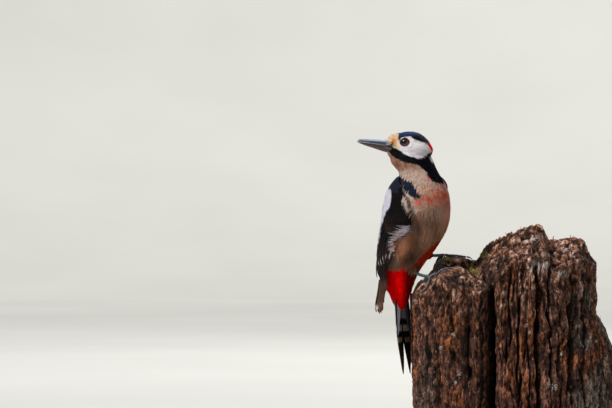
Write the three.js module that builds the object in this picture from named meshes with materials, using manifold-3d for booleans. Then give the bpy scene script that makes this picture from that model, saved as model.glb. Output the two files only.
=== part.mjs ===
// A great spotted woodpecker, adult male, life size, clinging to the broken top of a weathered oak post.
// It is a still model: the bird, a short length of the post as its perch, and a plain display stand under that.
//
// Millimetres, +Z up. The origin is the centre of the stand's underside. The bird's bill points along -X, its
// belly faces the post, and its right side is nearest the front, which is -Y.
//
// Every form is a sphere whose rings are moved by a function of named sizes, so each one is closed. Forms that
// share flesh are joined, and the pieces are then parted with thin cuts.

import * as THREE from "three";
import { mergeVertices } from "three/addons/utils/BufferGeometryUtils.js";
import Module from "manifold-3d";

const wasm = await Module();
wasm.setup();

// ---------------------------------------------------------------- driving dimensions

const GAP = 0.3; // between neighbouring solids

const BASE = { width: 214, depth: 156, thick: 10, corner: 14, edge: 1.5 };
const ROD = { radius: 6, apart: 84 };
const PERCH_FOOT = 30; // height of the post's sawn lower end

// The post: half sizes of its squarish section, and the height of its broken top along X, through the ridge.
const POST = {
  left: 86.6, right: 69, halfDepth: 67, squareness: 2.7, flare: 34, flareTop: 118, flareBend: 0.8, ridgeY: -5,
};
const RIDGE = [
  [-92, 122], [-87, 129.5], [-83.6, 137], [-79, 145], [-71.2, 150.6], [-65.6, 158], [-61, 165.4], [-50, 166.6],
  [-37, 165.2], [-29.5, 163], [-24, 172], [-13.8, 181], [8.8, 190], [21.2, 194], [26.5, 191.5], [31.4, 182.4],
  [43, 181], [54, 182.6], [63, 179], [68, 168], [76, 160],
];
const FALL = { lip: 2.2, near: 8.4, brow: 12, front: 15, back: 26 }; // how far the top drops away from the ridge
// Weathered hollows down the front and back faces: place along X, half width and depth.
const HOLLOWS = [[-66, 6, 2], [-42.5, 7, 3.2], [3, 7, 2.4], [25, 7, 3], [50, 7, 3.4]];
const CRACK = { x: -18.3, halfWidth: 3.6, depth: 30, top: 146 };

// The bird's body: rows of height, centre, and half sizes along X and Y, from inside the head to the vent.
const BODY = [
  [264, -88, -29, 6, 6],
  [256, -86.5, -29, 14.5, 11.5],
  [249.3, -85.6, -29, 17.8, 13.6],
  [243.4, -82.2, -28.7, 16.8, 14.6],
  [236.6, -79.4, -28.2, 17.4, 16.6],
  [229.8, -78.5, -27.2, 21, 20.4],
  [219.6, -79, -26, 25.2, 24.2],
  [207.7, -79.5, -24.5, 26.8, 26],
  [198.3, -80.3, -23, 26.9, 26.2],
  [190.7, -81.8, -21.5, 26.3, 25.6],
  [182.2, -84.4, -20, 24.6, 24.2],
  [173.7, -87.2, -18.6, 22, 22],
  [166.4, -90, -17.6, 19, 19.4],
  [156.7, -93.1, -16.6, 15, 16],
  [149, -94.6, -16, 12.6, 13.2],
  [138, -95.6, -15.2, 10, 10.4],
  [127.8, -95.4, -14.6, 6.6, 7],
  [119.5, -94.6, -14.4, 1.6, 1.8],
];
// Where the breastbone faces at each height, in degrees from +X towards the front.
const FACING = [[119, 35], [150, 34], [175, 40], [198, 52], [222, 66], [236, 100], [250, 170], [264, 180]];

const HEAD = { x: -88.4, y: -29, z: 260.3, halfLength: 20.6 };
// Where the pieces part: under the head, on a plane that falls towards the nape, and level at the neck's root.
const PARTING = { head: 246.5, tilt: 14, neck: 231 };
// Along the head from nape (-) to bill (+): how far the middle line, crown, chin and cheek stand out, before
// the round ends pull them in.
const HEAD_LINE = [[-20.6, -3], [-10, -1.2], [0, 0], [12, 0], [20.6, 1]];
const CROWN = [[-20.6, 8], [-16, 12.4], [-10, 14], [0, 13.4], [8, 13.4], [12.5, 14.8], [17.6, 16.4], [20.6, 14]];
const CHIN = [[-20.6, 9], [-10, 13], [0, 12.6], [10, 12], [20.6, 12.5]];
const CHEEK = [[-20.6, 13.4], [-14, 14.2], [-9, 13.9], [-3, 12.8], [3, 11.4], [9, 10.7], [14, 10.7], [20.6, 11.6]];
const EYE = { along: 3.7, up: 4.2, out: 7.3, radius: 4.6 };

// The bill, along X from its root to its tip.
const BILL = { root: -100.5, tip: -132.4 };
const CULMEN = [
  [-132.4, 265.5], [-131.6, 266.5], [-130, 267], [-123, 267.2], [-116, 267], [-107, 266.5], [-100, 265.6],
];
const TOMIUM = [[-132.4, 265.1], [-130, 264.7], [-123, 263.9], [-116, 262.9], [-108, 261.7], [-100, 259.4]];
const GONYS = [[-132.4, 264.6], [-130, 263.5], [-123, 261.5], [-116, 259.2], [-109, 256.9], [-100, 255]];
const BILL_WIDTH = [[-132.4, 0.5], [-130, 1.1], [-122, 2.1], [-112, 3.3], [-105, 4.2], [-100, 4.6]];

// A folded wing, from shoulder to tip: height, angle round the body from the breastbone, distance out from the
// body's centre, half width, half thickness, and the radius it curves round the body with.
const WING = [
  [237, 86, 15.4, 1.5, 1, 20],
  [233, 88, 19, 5.5, 1.8, 24],
  [227, 91, 23, 11.5, 2.6, 26],
  [221, 93, 25.6, 15, 3, 27],
  [213, 93, 27.2, 17.6, 3.2, 28],
  [205, 92, 28, 19, 3.2, 29],
  [198, 93, 28.2, 18.5, 3.2, 29],
  [191, 100, 27.8, 17.5, 3, 29],
  [186, 110, 27.4, 15, 3, 28],
  [181, 119, 26.6, 12.6, 2.9, 28],
  [174, 125, 25.2, 12, 2.7, 27],
  [160, 128, 22.2, 11.6, 2.2, 25],
  [150, 125, 19.8, 9, 1.8, 24],
  [140, 121, 17.4, 7, 1.4, 30],
  [132, 122, 17.8, 5.6, 1.2, 50],
  [126, 125, 19.4, 4.4, 1, 80],
  [120.5, 127, 20, 2, 0.7, 100],
];
// How many degrees further round the back the left wing lies than the right one, at each height.
const LEFT_WING_BACK = [[120, 0], [150, 4], [175, 20], [205, 34], [228, 40], [237, 36]];
const PRIMARY = { count: 3, root: 152, first: 119.5, step: 6, halfWidth: 3.6, halfThick: 0.7 }; // feather ends

// The tail: its middle line, and the ten stiff feathers.
const TAIL_LINE = [[60, -89, -11.6], [80, -91, -12], [100, -93.4, -12.5], [125, -95.4, -13.2], [152, -97.4, -13.6]];
const TAIL_FACING = 35;
const TAIL_ROOT = 150;
// Each pair of tail feathers, from the middle outwards: height of the tip, distance of the tip from the middle
// line, and half width.
const TAIL_PAIRS = [[66.6, 5.2, 4.8], [74, 6.6, 4.2], [84, 7.7, 4], [92, 8.6, 3.8], [100, 9.2, 3.6]];
const VANE = { halfThick: 0.6, step: 0.62, stagger: 0.15, arch: 0.012, taper: 7 };

// Each leg: its feathered thigh, its shank down to the ball of the foot, and four toes. The toes are given in
// plan, from near the ball of the foot to the claw: they rest on the post's top.
const LEGS = {
  right: {
    thigh: [[-93, -20, 169], [-88, -25, 161.5], [-82, -28.8, 153.2]],
    shank: [[-85, -28, 154.4], [-78.5, -29.2, 151.6], [-70.6, -30, 149.8]],
    toes: [
      [[-67.6, -30.6], [-63.8, -31], [-61.2, -31.5], [-57.6, -32], [-54.8, -32.3]],
      [[-69.2, -27], [-66.4, -23.6], [-63.4, -21.4], [-60.4, -19.8]],
      [[-71.4, -32.8], [-73.4, -34.6], [-76.2, -35.4], [-79.4, -35]],
      [[-73.2, -28.4], [-75.4, -26.4], [-78, -25.2]],
    ],
  },
  left: {
    thigh: [[-82, -12, 176], [-74.5, -9, 170], [-67.2, -7.4, 167.6]],
    shank: [[-72, -8.8, 168.2], [-66, -7, 167.8], [-57.2, -4.6, 168.2]],
    toes: [
      [[-54, -5], [-50, -5.4], [-45.6, -6], [-41.4, -6.4], [-38.4, -6.6]],
      [[-55.4, -1.9], [-51.8, 0.4], [-47.6, 1.6]],
      [[-57.8, -7.8], [-59, -11.4], [-60.6, -14.8]],
      [[-59.4, -2.2], [-62, -0.2], [-64.6, 1.2]],
    ],
  },
};
const SHANK_RADIUS = 1.35;
const TOE_RADIUS = 1.15;
const CLAW = { radius: 0.85, length: 6.4, droop: 0.8 };
const THIGH = { top: 10, end: 2.9 };

// ---------------------------------------------------------------- colours

const COLOURS = {
  black: 0x15161c, white: 0xe4ddd4, buff: 0xb99e88, horn: 0x4a4c57, leg: 0x54585c, claw: 0x2c2c2e, eye: 0x2a0b0a,
  wood: 0x6b3d28, stand: 0x2b2622, steel: 0x9a9c9e,
};

// ---------------------------------------------------------------- helpers

const rad = THREE.MathUtils.degToRad;
const V = (x, y, z) => new THREE.Vector3(x, y, z);

// A smooth function through rows of numbers: the first column is where, `column` is the value.
function through(rows, column = 1) {
  const at = [...rows].sort((a, b) => a[0] - b[0]);
  const last = at.length - 1;
  const slope = (i) => {
    const [a, b] = [at[Math.max(i - 1, 0)], at[Math.min(i + 1, last)]];
    return (b[column] - a[column]) / (b[0] - a[0]);
  };
  return (where) => {
    const x = THREE.MathUtils.clamp(where, at[0][0], at[last][0]);
    const i = Math.min(at.filter((row) => row[0] <= x).length, last) - 1;
    const [a, b] = [at[i], at[i + 1]];
    const span = b[0] - a[0];
    const t = (x - a[0]) / span;
    const [t2, t3] = [t * t, t * t * t];
    return (
      (2 * t3 - 3 * t2 + 1) * a[column] + (t3 - 2 * t2 + t) * span * slope(i) +
      (3 * t2 - 2 * t3) * b[column] + (t3 - t2) * span * slope(i + 1)
    );
  };
}

// A closed surface: place(u, angle) gives the point of ring u, from 0 to 1, at that angle round it.
function form(rings, sides, place) {
  const geometry = new THREE.SphereGeometry(1, sides, rings);
  const { position, uv } = geometry.attributes;
  for (let i = 0; i < position.count; i++) {
    const u = 1 - uv.getY(i);
    const pole = u < 1e-6 || u > 1 - 1e-6;
    const p = place(u, pole ? 0 : 2 * Math.PI * (uv.getX(i) % 1));
    if (pole) p.add(place(u, Math.PI)).multiplyScalar(0.5);
    position.setXYZ(i, p.x, p.y, p.z);
  }
  return geometry;
}

// The geometry as a manifold solid that faces out.
function solid(geometry) {
  const bare = geometry.clone();
  bare.deleteAttribute("normal");
  bare.deleteAttribute("uv");
  const merged = mergeVertices(bare, 1e-4);
  const mesh = (triVerts) =>
    new wasm.Manifold(new wasm.Mesh({ numProp: 3, vertProperties: merged.attributes.position.array, triVerts }));
  const faces = new Uint32Array(merged.index.array);
  const made = mesh(faces);
  return made.volume() > 0 ? made : mesh(faces.slice().reverse());
}

const joined = (solids) => solids.reduce((a, b) => a.add(b));
const without = (body, ...cutters) => cutters.reduce((a, b) => a.subtract(b), body);

// Runs from 0 to 1 with small steps at both ends.
const roundEnds = (u) => (1 - Math.cos(Math.PI * u)) / 2;

// A tube along points, with a round section of radius(u) and round ends.
function tube(points, radius, { rings = 8, sides = 8, grow = 0 } = {}) {
  const curve = new THREE.CatmullRomCurve3(points, false, "centripetal");
  const across = curve.getTangent(0.5).cross(Math.abs(curve.getTangent(0.5).z) > 0.8 ? V(1, 0, 0) : V(0, 0, 1));
  return solid(form(rings, sides, (u, angle) => {
    const along = 0.3 * u + 0.7 * roundEnds(u);
    const r = radius(along) * Math.sqrt(Math.max(0, 1 - Math.abs(2 * along - 1) ** 12)) + grow;
    const tangent = curve.getTangent(along);
    const first = across.clone().addScaledVector(tangent, -across.dot(tangent)).normalize();
    const second = tangent.clone().cross(first);
    return curve.getPoint(along)
      .addScaledVector(tangent, grow * (2 * u - 1))
      .addScaledVector(first, r * Math.cos(angle))
      .addScaledVector(second, r * Math.sin(angle));
  }));
}

// Everything on the side of a plane that its normal points to.
function halfSpace(point, normal) {
  const size = 600;
  const box = new THREE.BoxGeometry(size, size, size);
  box.translate(0, 0, size / 2);
  box.applyQuaternion(new THREE.Quaternion().setFromUnitVectors(V(0, 0, 1), normal.clone().normalize()));
  box.translate(point.x, point.y, point.z);
  return solid(box);
}

// ---------------------------------------------------------------- body

const centreX = through(BODY, 1);
const centreY = through(BODY, 2);
const halfX = through(BODY, 3);
const halfY = through(BODY, 4);
const facing = through(FACING);

// The direction in plan at an angle from the breastbone, at a height. Positive turns to the bird's left.
function bodyDirection(z, angle) {
  const world = rad(angle - facing(z));
  return V(Math.cos(world), Math.sin(world), 0);
}

function bodyForm(grow = 0) {
  const [top, bottom] = [BODY[0][0], BODY[BODY.length - 1][0]];
  return solid(form(21, 24, (u, angle) => {
    const z = top + (bottom - top) * (0.7 * u + 0.3 * roundEnds(u));
    const pole = u < 1e-6 || u > 1 - 1e-6;
    const [a, b] = pole ? [0, 0] : [halfX(z) + grow, halfY(z) + grow];
    return V(centreX(z) + a * Math.cos(angle), centreY(z) + b * Math.sin(angle), z);
  }));
}

// ---------------------------------------------------------------- head

const headLine = through(HEAD_LINE);
const crown = through(CROWN);
const chin = through(CHIN);
const cheek = through(CHEEK);

function headForm() {
  return solid(form(13, 20, (u, angle) => {
    const turn = Math.PI * u;
    const along = -HEAD.halfLength * Math.cos(turn);
    const end = Math.sin(turn);
    const up = Math.sin(angle) * end * (Math.sin(angle) > 0 ? crown(along) : chin(along));
    return V(HEAD.x - along, HEAD.y - Math.cos(angle) * end * cheek(along), HEAD.z + headLine(along) + up);
  }));
}

function eyeForm(side, grow = 0) {
  const ball = new THREE.SphereGeometry(EYE.radius + grow, 12, 8);
  ball.translate(HEAD.x - EYE.along, HEAD.y + side * EYE.out, HEAD.z + EYE.up);
  return solid(ball);
}

const culmen = through(CULMEN);
const tomium = through(TOMIUM);
const gonys = through(GONYS);
const billWidth = through(BILL_WIDTH);

// One half of the bill, between the cutting edge and `edge`, the culmen above or the gonys below.
function billForm(edge, up, grow = 0) {
  return solid(form(7, 10, (u, angle) => {
    const x = THREE.MathUtils.lerp(BILL.tip - grow, BILL.root + grow, u ** 1.2);
    const away = Math.max(0, up * Math.sin(angle)) ** 0.9;
    const seam = tomium(x) + up * (GAP / 2 - grow);
    const z = seam + away * (edge(x) + up * grow - seam);
    return V(x, HEAD.y + (billWidth(x) + grow) * Math.cos(angle) * (u < 1e-6 || u > 1 - 1e-6 ? 0 : 1), z);
  }));
}

// ---------------------------------------------------------------- wings

const wingColumns = [1, 2, 3, 4, 5].map((column) => through(WING, column));
const leftWingBack = through(LEFT_WING_BACK);

// A point of a wing at height z, `across` from -1 at its belly edge to 1 at its back edge, `out` from its face.
function wingPoint(side, z, across, out) {
  const [angle, distance, halfWidth, , curve] = wingColumns.map((f) => f(z));
  const normal = bodyDirection(z, side * (angle + (side > 0 ? leftWingBack(z) : 0)));
  const along = V(-normal.y, normal.x, 0).multiplyScalar(side);
  const reach = across * halfWidth;
  return V(centreX(z), centreY(z), z)
    .addScaledVector(normal, distance + out - (reach * reach) / (2 * curve))
    .addScaledVector(along, reach);
}

function wingForm(side, grow = 0) {
  const [top, bottom] = [WING[0][0], WING[WING.length - 1][0]];
  const body = solid(form(15, 12, (u, angle) => {
    const down = 0.3 * u + 0.7 * roundEnds(u);
    const z = top + (bottom - top) * down;
    const end = Math.sqrt(Math.max(0, 1 - (2 * down - 1) ** 8));
    const wide = Math.cos(angle) * (end + grow / wingColumns[2](z));
    const thick = Math.sin(angle) * (wingColumns[3](z) * end + grow);
    return wingPoint(side, z, wide, thick).add(V(0, 0, grow * (1 - 2 * u)));
  }));
  const { count, root, first, step, halfWidth, halfThick } = PRIMARY;
  const feathers = Array.from({ length: count }, (_, i) => {
    const place = -0.75 + (1.3 * (i + 0.5)) / count;
    return solid(form(5, 6, (u, angle) => {
      const z = THREE.MathUtils.lerp(root, first + i * step, u);
      const end = Math.min(1, 4 * u) * Math.sqrt(1 - u ** 3);
      const wide = (halfWidth * end + grow) * Math.cos(angle);
      const across = place * (1 - 0.65 * u) + wide / wingColumns[2](z);
      return wingPoint(side, z, across, (halfThick * end + grow) * Math.sin(angle) + 0.5 * (count - i) - 0.6)
        .add(V(0, 0, grow * (1 - 2 * u)));
    }));
  });
  return joined([body, ...feathers]);
}

// ---------------------------------------------------------------- tail

const tailX = through(TAIL_LINE, 1);
const tailY = through(TAIL_LINE, 2);
const tailLeft = V(Math.sin(rad(TAIL_FACING)), Math.cos(rad(TAIL_FACING)), 0);
const tailUnder = V(Math.cos(rad(TAIL_FACING)), -Math.sin(rad(TAIL_FACING)), 0);

function tailForm(grow = 0) {
  const feather = ([tip, apart, half], i, side) => solid(form(6, 6, (u, angle) => {
    const z = THREE.MathUtils.lerp(TAIL_ROOT, tip, u);
    const spread = side * apart * THREE.MathUtils.lerp(0.35, 1, u ** 0.8);
    const end = Math.min(1, 5 * u) * (1 - u ** VANE.taper);
    const under = VANE.step * i + VANE.stagger * side - VANE.arch * spread * spread;
    return V(tailX(z), tailY(z), z)
      .addScaledVector(tailLeft, spread + (half * end + grow) * Math.cos(angle))
      .addScaledVector(tailUnder, under + (VANE.halfThick * end + grow) * Math.sin(angle))
      .add(V(0, 0, grow * (1 - 2 * u)));
  }));
  return joined(TAIL_PAIRS.flatMap((pair, i) => [-1, 1].map((side) => feather(pair, i, side))));
}

// ---------------------------------------------------------------- perch

const ridge = through(RIDGE);
const smooth = (t) => THREE.MathUtils.smoothstep(t, 0, 1);

// The height of the broken top: the ridge, less what it falls towards the front and the back.
function topHeight(x, y) {
  const ahead = Math.max(0, POST.ridgeY - y);
  const behind = Math.max(0, y - POST.ridgeY - 12);
  const near = (FALL.lip + FALL.near * smooth((x + 71) / 10)) * smooth(ahead / 24);
  const brow = FALL.brow * smooth((ahead - 25) / 9) * smooth((-64 - x) / 6);
  const front = FALL.front * smooth((ahead - 24) / 44) * smooth((x + 70) / 14);
  return ridge(x) - near - brow - front - FALL.back * smooth(behind / 60);
}

// How far the post's side stands from its middle line, at an angle in plan and a height.
function sideRadius(angle, z) {
  const [c, s] = [Math.cos(angle), Math.sin(angle)];
  const low = 1 - THREE.MathUtils.clamp((z - PERCH_FOOT) / (POST.flareTop - PERCH_FOOT), 0, 1);
  const across = c < 0 ? POST.left - 3 * low : POST.right + POST.flare * low ** POST.flareBend;
  const n = POST.squareness;
  const radius = (Math.abs(c / across) ** n + Math.abs(s / POST.halfDepth) ** n) ** (-1 / n);
  const x = radius * c;
  const worn = HOLLOWS.reduce((sum, [place, half, depth]) => sum + depth * Math.exp(-(((x - place) / half) ** 2)), 0);
  return radius - worn * Math.min(1, Math.abs(s) * 1.6);
}

function postForm() {
  const [rings, sawn, rim] = [16, 1, 6]; // of the rings: the sawn end, and the rim of the top
  return solid(form(rings, 54, (u, turn) => {
    const angle = turn + 0.35 * Math.sin(turn); // closer together at the left, under the bird
    const ring = Math.round(u * rings);
    const rimRadius = sideRadius(angle, 140);
    const edge = V(0.95 * rimRadius * Math.cos(angle), 0.95 * rimRadius * Math.sin(angle), 0);
    const rimHeight = topHeight(edge.x, edge.y) - 5;
    if (ring <= rim) {
      const up = Math.max(0, ring - sawn) / (rim - sawn);
      const z = THREE.MathUtils.lerp(PERCH_FOOT, rimHeight, up);
      const r = Math.min(1, ring / sawn) * sideRadius(angle, z);
      return V(r * Math.cos(angle), r * Math.sin(angle), z);
    }
    const inwards = ((ring - rim) / (rings - rim)) ** 1.35;
    const r = sideRadius(angle, rimHeight) * (1 - inwards);
    const [x, y] = [r * Math.cos(angle), r * Math.sin(angle)];
    return V(x, y, topHeight(x, y));
  }));
}

// The deep crack down the front, as a wedge that narrows inwards and upwards.
function crackForm() {
  const face = -POST.halfDepth - 6;
  return solid(form(8, 6, (u, angle) => {
    const z = THREE.MathUtils.lerp(PERCH_FOOT - 12, CRACK.top, u);
    const narrow = Math.min(1, 6 * u) * Math.sqrt(1 - u * u);
    const y = face + (1 + Math.sin(angle)) * 0.5 * CRACK.depth * (0.4 + 0.6 * narrow);
    const wide = CRACK.halfWidth * narrow * (0.25 + 0.75 * (1 - Math.sin(angle)) * 0.5 + 0.3);
    return V(CRACK.x + wide * Math.cos(angle), y, z);
  }));
}

// ---------------------------------------------------------------- legs

const points = (rows) => rows.map((row) => V(...row));

const thighForm = (leg, grow = 0) =>
  tube(points(leg.thigh), (u) => THREE.MathUtils.lerp(THIGH.top, THIGH.end, u), { rings: 6, sides: 10, grow });

const shankForm = (leg, grow = 0) =>
  tube(points(leg.shank), (u) => SHANK_RADIUS * (1 + 0.25 * (2 * u - 1) ** 4), { rings: 5, sides: 7, grow });

const toePath = (rows) => rows.map(([x, y]) => V(x, y, topHeight(x, y) + TOE_RADIUS));

const toeForm = (rows, grow = 0) =>
  tube(toePath(rows), (u) => TOE_RADIUS * (1 - 0.25 * u), { rings: 6, sides: 6, grow });

// A claw goes on from its toe's end and bends down.
function clawForm(rows, grow = 0) {
  const [before, end] = toePath(rows).slice(-2);
  const ahead = end.clone().sub(before).normalize();
  const at = (along, drop) =>
    end.clone().addScaledVector(ahead, along * CLAW.length).add(V(0, 0, -drop * CLAW.droop * CLAW.length));
  const path = [at(0.24, -0.02), at(0.45, 0.02), at(0.7, 0.24), at(0.84, 0.55)];
  return tube(path, (u) => CLAW.radius * (1 - 0.8 * u), { rings: 4, sides: 5, grow });
}

// ---------------------------------------------------------------- stand

function baseForm() {
  const { width, depth, thick, corner, edge } = BASE;
  const [w, d] = [width / 2 - edge, depth / 2 - edge];
  const outline = new THREE.Shape();
  outline.moveTo(-w + corner, -d);
  outline.lineTo(w - corner, -d);
  outline.absarc(w - corner, -d + corner, corner, -Math.PI / 2, 0);
  outline.lineTo(w, d - corner);
  outline.absarc(w - corner, d - corner, corner, 0, Math.PI / 2);
  outline.lineTo(-w + corner, d);
  outline.absarc(-w + corner, d - corner, corner, Math.PI / 2, Math.PI);
  outline.lineTo(-w, -d + corner);
  outline.absarc(-w + corner, -d + corner, corner, Math.PI, 1.5 * Math.PI);
  const bevel = { bevelEnabled: true, bevelThickness: edge, bevelSize: edge, bevelSegments: 1 };
  const plate = new THREE.ExtrudeGeometry(outline, { depth: thick - 2 * edge, curveSegments: 4, ...bevel });
  plate.translate(0, 0, edge);
  return solid(plate);
}

function rodForm(x) {
  const length = PERCH_FOOT - BASE.thick - 2 * GAP;
  const rod = new THREE.CylinderGeometry(ROD.radius, ROD.radius, length, 18);
  rod.rotateX(Math.PI / 2);
  rod.translate(x, 0, BASE.thick + GAP + length / 2);
  return solid(rod);
}

// ---------------------------------------------------------------- assembly

const sides = { right: -1, left: 1 }; // the body's side, as the sign of its angle from the breastbone
const model = new THREE.Group();

function add(name, body, colour, roughness = 0.8, metalness = 0) {
  const { vertProperties, triVerts, numProp, numVert } = body.getMesh();
  const places = new Float32Array(numVert * 3);
  for (let i = 0; i < numVert; i++) places.set(vertProperties.subarray(i * numProp, i * numProp + 3), i * 3);
  const geometry = new THREE.BufferGeometry();
  geometry.setAttribute("position", new THREE.BufferAttribute(places, 3));
  geometry.setIndex(new THREE.BufferAttribute(triVerts, 1));
  geometry.computeVertexNormals();
  const mesh = new THREE.Mesh(geometry, new THREE.MeshStandardMaterial({ color: colour, roughness, metalness }));
  mesh.name = name;
  model.add(mesh);
}

// Flesh: one body, parted below the head and at the root of the neck.
const flesh = bodyForm().add(headForm());
const headUp = V(Math.sin(rad(PARTING.tilt)), 0, Math.cos(rad(PARTING.tilt)));
const headCut = V(HEAD.x, HEAD.y, PARTING.head);
const neckUp = V(0, 0, 1);
const neckCut = V(0, 0, PARTING.neck);
const shifted = (point, up, by) => point.clone().addScaledVector(up, by);
const belowHead = halfSpace(shifted(headCut, headUp, GAP / 2), headUp.clone().negate());
const aboveNeck = halfSpace(shifted(headCut, headUp, -GAP / 2), headUp);
const belowNeck = halfSpace(shifted(neckCut, neckUp, GAP / 2), neckUp.clone().negate());
const aboveTrunk = halfSpace(shifted(neckCut, neckUp, -GAP / 2), neckUp);

const wings = Object.values(sides).map((side) => wingForm(side));
const wingRoom = Object.values(sides).map((side) => wingForm(side, GAP));
// The shoulder ends in a point, which a grown wing doesn't quite wrap, so the neck also clears the wing moved a
// little each way.
const nudges = [[0, 0, 0], [GAP, 0, 0], [0, GAP, 0], [0, -GAP, 0], [0, 0, GAP]];
const shoulderRoom = wings.flatMap((wing, i) => [wingRoom[i], ...nudges.map((nudge) => wing.translate(nudge))]);
const eyeRoom = [eyeForm(-1, GAP), eyeForm(1, GAP)];
const billRoom = [billForm(culmen, 1, GAP), billForm(gonys, -1, GAP)];

add("head", without(flesh, belowHead, ...eyeRoom, ...billRoom), COLOURS.white);
add("neck", without(flesh, aboveNeck, belowNeck, ...shoulderRoom), COLOURS.black);
add("trunk", without(flesh, aboveTrunk, ...wingRoom), COLOURS.buff);
add("bill_upper", billForm(culmen, 1), COLOURS.horn, 0.35);
add("bill_lower", billForm(gonys, -1), COLOURS.horn, 0.35);
add("eye_right", eyeForm(1), COLOURS.eye, 0.08);
add("eye_left", eyeForm(-1), COLOURS.eye, 0.08);
add("wing_right", wings[0], COLOURS.black);
add("wing_left", wings[1], COLOURS.black);
add("tail", without(tailForm(), bodyForm(GAP)), COLOURS.black);

let perch = postForm().subtract(crackForm()).subtract(tailForm(GAP));

for (const [side, leg] of Object.entries(LEGS)) {
  const shank = without(shankForm(leg), bodyForm(GAP));
  const thigh = without(thighForm(leg), bodyForm(GAP), shankForm(leg, GAP), ...wingRoom);
  add(`thigh_${side}`, thigh, COLOURS.buff);
  add(`shank_${side}`, without(shank, ...leg.toes.map((path) => toeForm(path, GAP))), COLOURS.leg, 0.5);
  leg.toes.forEach((path, i) => {
    const others = leg.toes.slice(0, i).map((other) => toeForm(other, GAP));
    add(`toe_${side}_${i + 1}`, without(toeForm(path), ...others), COLOURS.leg, 0.5);
    add(`claw_${side}_${i + 1}`, without(clawForm(path), toeForm(path, GAP)), COLOURS.claw, 0.35);
    perch = without(perch, toeForm(path, GAP), clawForm(path, GAP));
  });
  perch = perch.subtract(shankForm(leg, GAP));
}

add("perch", perch, COLOURS.wood, 0.95);
add("stand_base", baseForm(), COLOURS.stand, 0.5);
add("stand_rod_left", rodForm(-ROD.apart / 2), COLOURS.steel, 0.3, 1);
add("stand_rod_right", rodForm(ROD.apart / 2), COLOURS.steel, 0.3, 1);

export default model;
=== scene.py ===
"""The looks of a life-size great spotted woodpecker on a post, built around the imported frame.

Lengths are millimetres in the row frame until a mesh is made. The bill points along -X, the camera
looks along +Y, and the bird's right wing is at the left of the picture. Sizes repeat those of the
solids, apart from the post's right edge and main crack and the eyes, whose places are corrected here.
"""

import math

import bpy
import numpy as np
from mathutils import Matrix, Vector
from mathutils.bvhtree import BVHTree


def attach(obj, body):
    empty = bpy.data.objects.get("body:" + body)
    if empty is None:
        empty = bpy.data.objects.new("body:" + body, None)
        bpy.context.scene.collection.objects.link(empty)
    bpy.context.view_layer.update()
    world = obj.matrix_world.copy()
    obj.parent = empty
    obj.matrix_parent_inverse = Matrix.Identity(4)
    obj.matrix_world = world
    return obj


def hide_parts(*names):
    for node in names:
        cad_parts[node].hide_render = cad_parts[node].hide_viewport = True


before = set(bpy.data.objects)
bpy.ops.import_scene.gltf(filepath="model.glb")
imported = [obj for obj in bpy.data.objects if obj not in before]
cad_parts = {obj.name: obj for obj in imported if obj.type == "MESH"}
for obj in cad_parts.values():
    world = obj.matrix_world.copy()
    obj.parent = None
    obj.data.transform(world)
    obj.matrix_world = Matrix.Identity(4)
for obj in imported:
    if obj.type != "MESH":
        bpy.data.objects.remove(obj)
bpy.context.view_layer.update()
MM = 0.001

# ------------------------------------------------------------ sizes of the solids

PERCH_FOOT = 30
POST = {
    "left": 86.9, "right": 73.2, "half_depth": 67, "square": 2.7,
    "flare": 34, "flare_top": 118, "flare_bend": 0.8, "ridge_y": -5,
}
RIDGE = [
    (-92, 122), (-87, 129.5), (-83.6, 137), (-79, 145), (-71.2, 150.6), (-65.6, 158), (-61, 165.4),
    (-50, 166.6), (-37, 165.2), (-29.5, 163), (-24, 172), (-13.8, 181), (8.8, 190), (21.2, 194),
    (26.5, 191.5), (31.4, 182.4), (43, 181), (54, 182.6), (63, 179), (68, 168), (76, 160),
]
FALL = {"lip": 2.2, "near": 8.4, "brow": 12, "front": 15, "back": 26}
HOLLOWS = [(-66, 6, 2), (-42.5, 7, 3.2), (3, 7, 2.4), (25, 7, 3), (50, 7, 3.4)]
CRACK = {"x": -23.4, "half": 3.6, "depth": 24, "top": 150}

BODY = [
    (264, -88, -29, 6, 6), (256, -86.5, -29, 14.5, 11.5), (249.3, -85.6, -29, 17.8, 13.6),
    (243.4, -82.2, -28.7, 16.8, 14.6), (236.6, -79.4, -28.2, 17.4, 16.6),
    (229.8, -78.5, -27.2, 21, 20.4), (219.6, -79, -26, 25.2, 24.2), (207.7, -79.5, -24.5, 26.8, 26),
    (198.3, -80.3, -23, 26.9, 26.2), (190.7, -81.8, -21.5, 26.3, 25.6), (182.2, -84.4, -20, 24.6, 24.2),
    (173.7, -87.2, -18.6, 22, 22), (166.4, -90, -17.6, 19, 19.4), (156.7, -93.1, -16.6, 15, 16),
    (149, -94.6, -16, 12.6, 13.2), (138, -95.6, -15.2, 10, 10.4), (127.8, -95.4, -14.6, 6.6, 7),
    (119.5, -94.6, -14.4, 1.6, 1.8),
]
FACING = [(119, 35), (150, 34), (175, 40), (198, 52), (222, 66), (236, 100), (250, 170), (264, 180)]
HEAD = np.array([-88.4, -29, 260.3])
HEAD_HALF = 20.6
HEAD_LINE = [(-20.6, -3), (-10, -1.2), (0, 0), (12, 0), (20.6, 1)]
CROWN = [(-20.6, 8), (-16, 12.4), (-10, 14), (0, 13.4), (8, 13.4), (12.5, 14.8), (17.6, 16.4), (20.6, 14)]
CHIN = [(-20.6, 9), (-10, 13), (0, 12.6), (10, 12), (20.6, 12.5)]
CHEEK = [
    (-20.6, 13.4), (-14, 14.2), (-9, 13.9), (-3, 12.8), (3, 11.4), (9, 10.7), (14, 10.7), (20.6, 11.6),
]
EYE = {"along": 3.4, "up": 3.6, "out": 7.3, "radius": 4.6}
BILL_ROOT = -100.5
BILL_TIP = -132.4
CULMEN = [
    (-132.4, 265.5), (-131.6, 266.5), (-130, 267), (-123, 267.2), (-116, 267), (-107, 266.5),
    (-100, 265.6),
]
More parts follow.
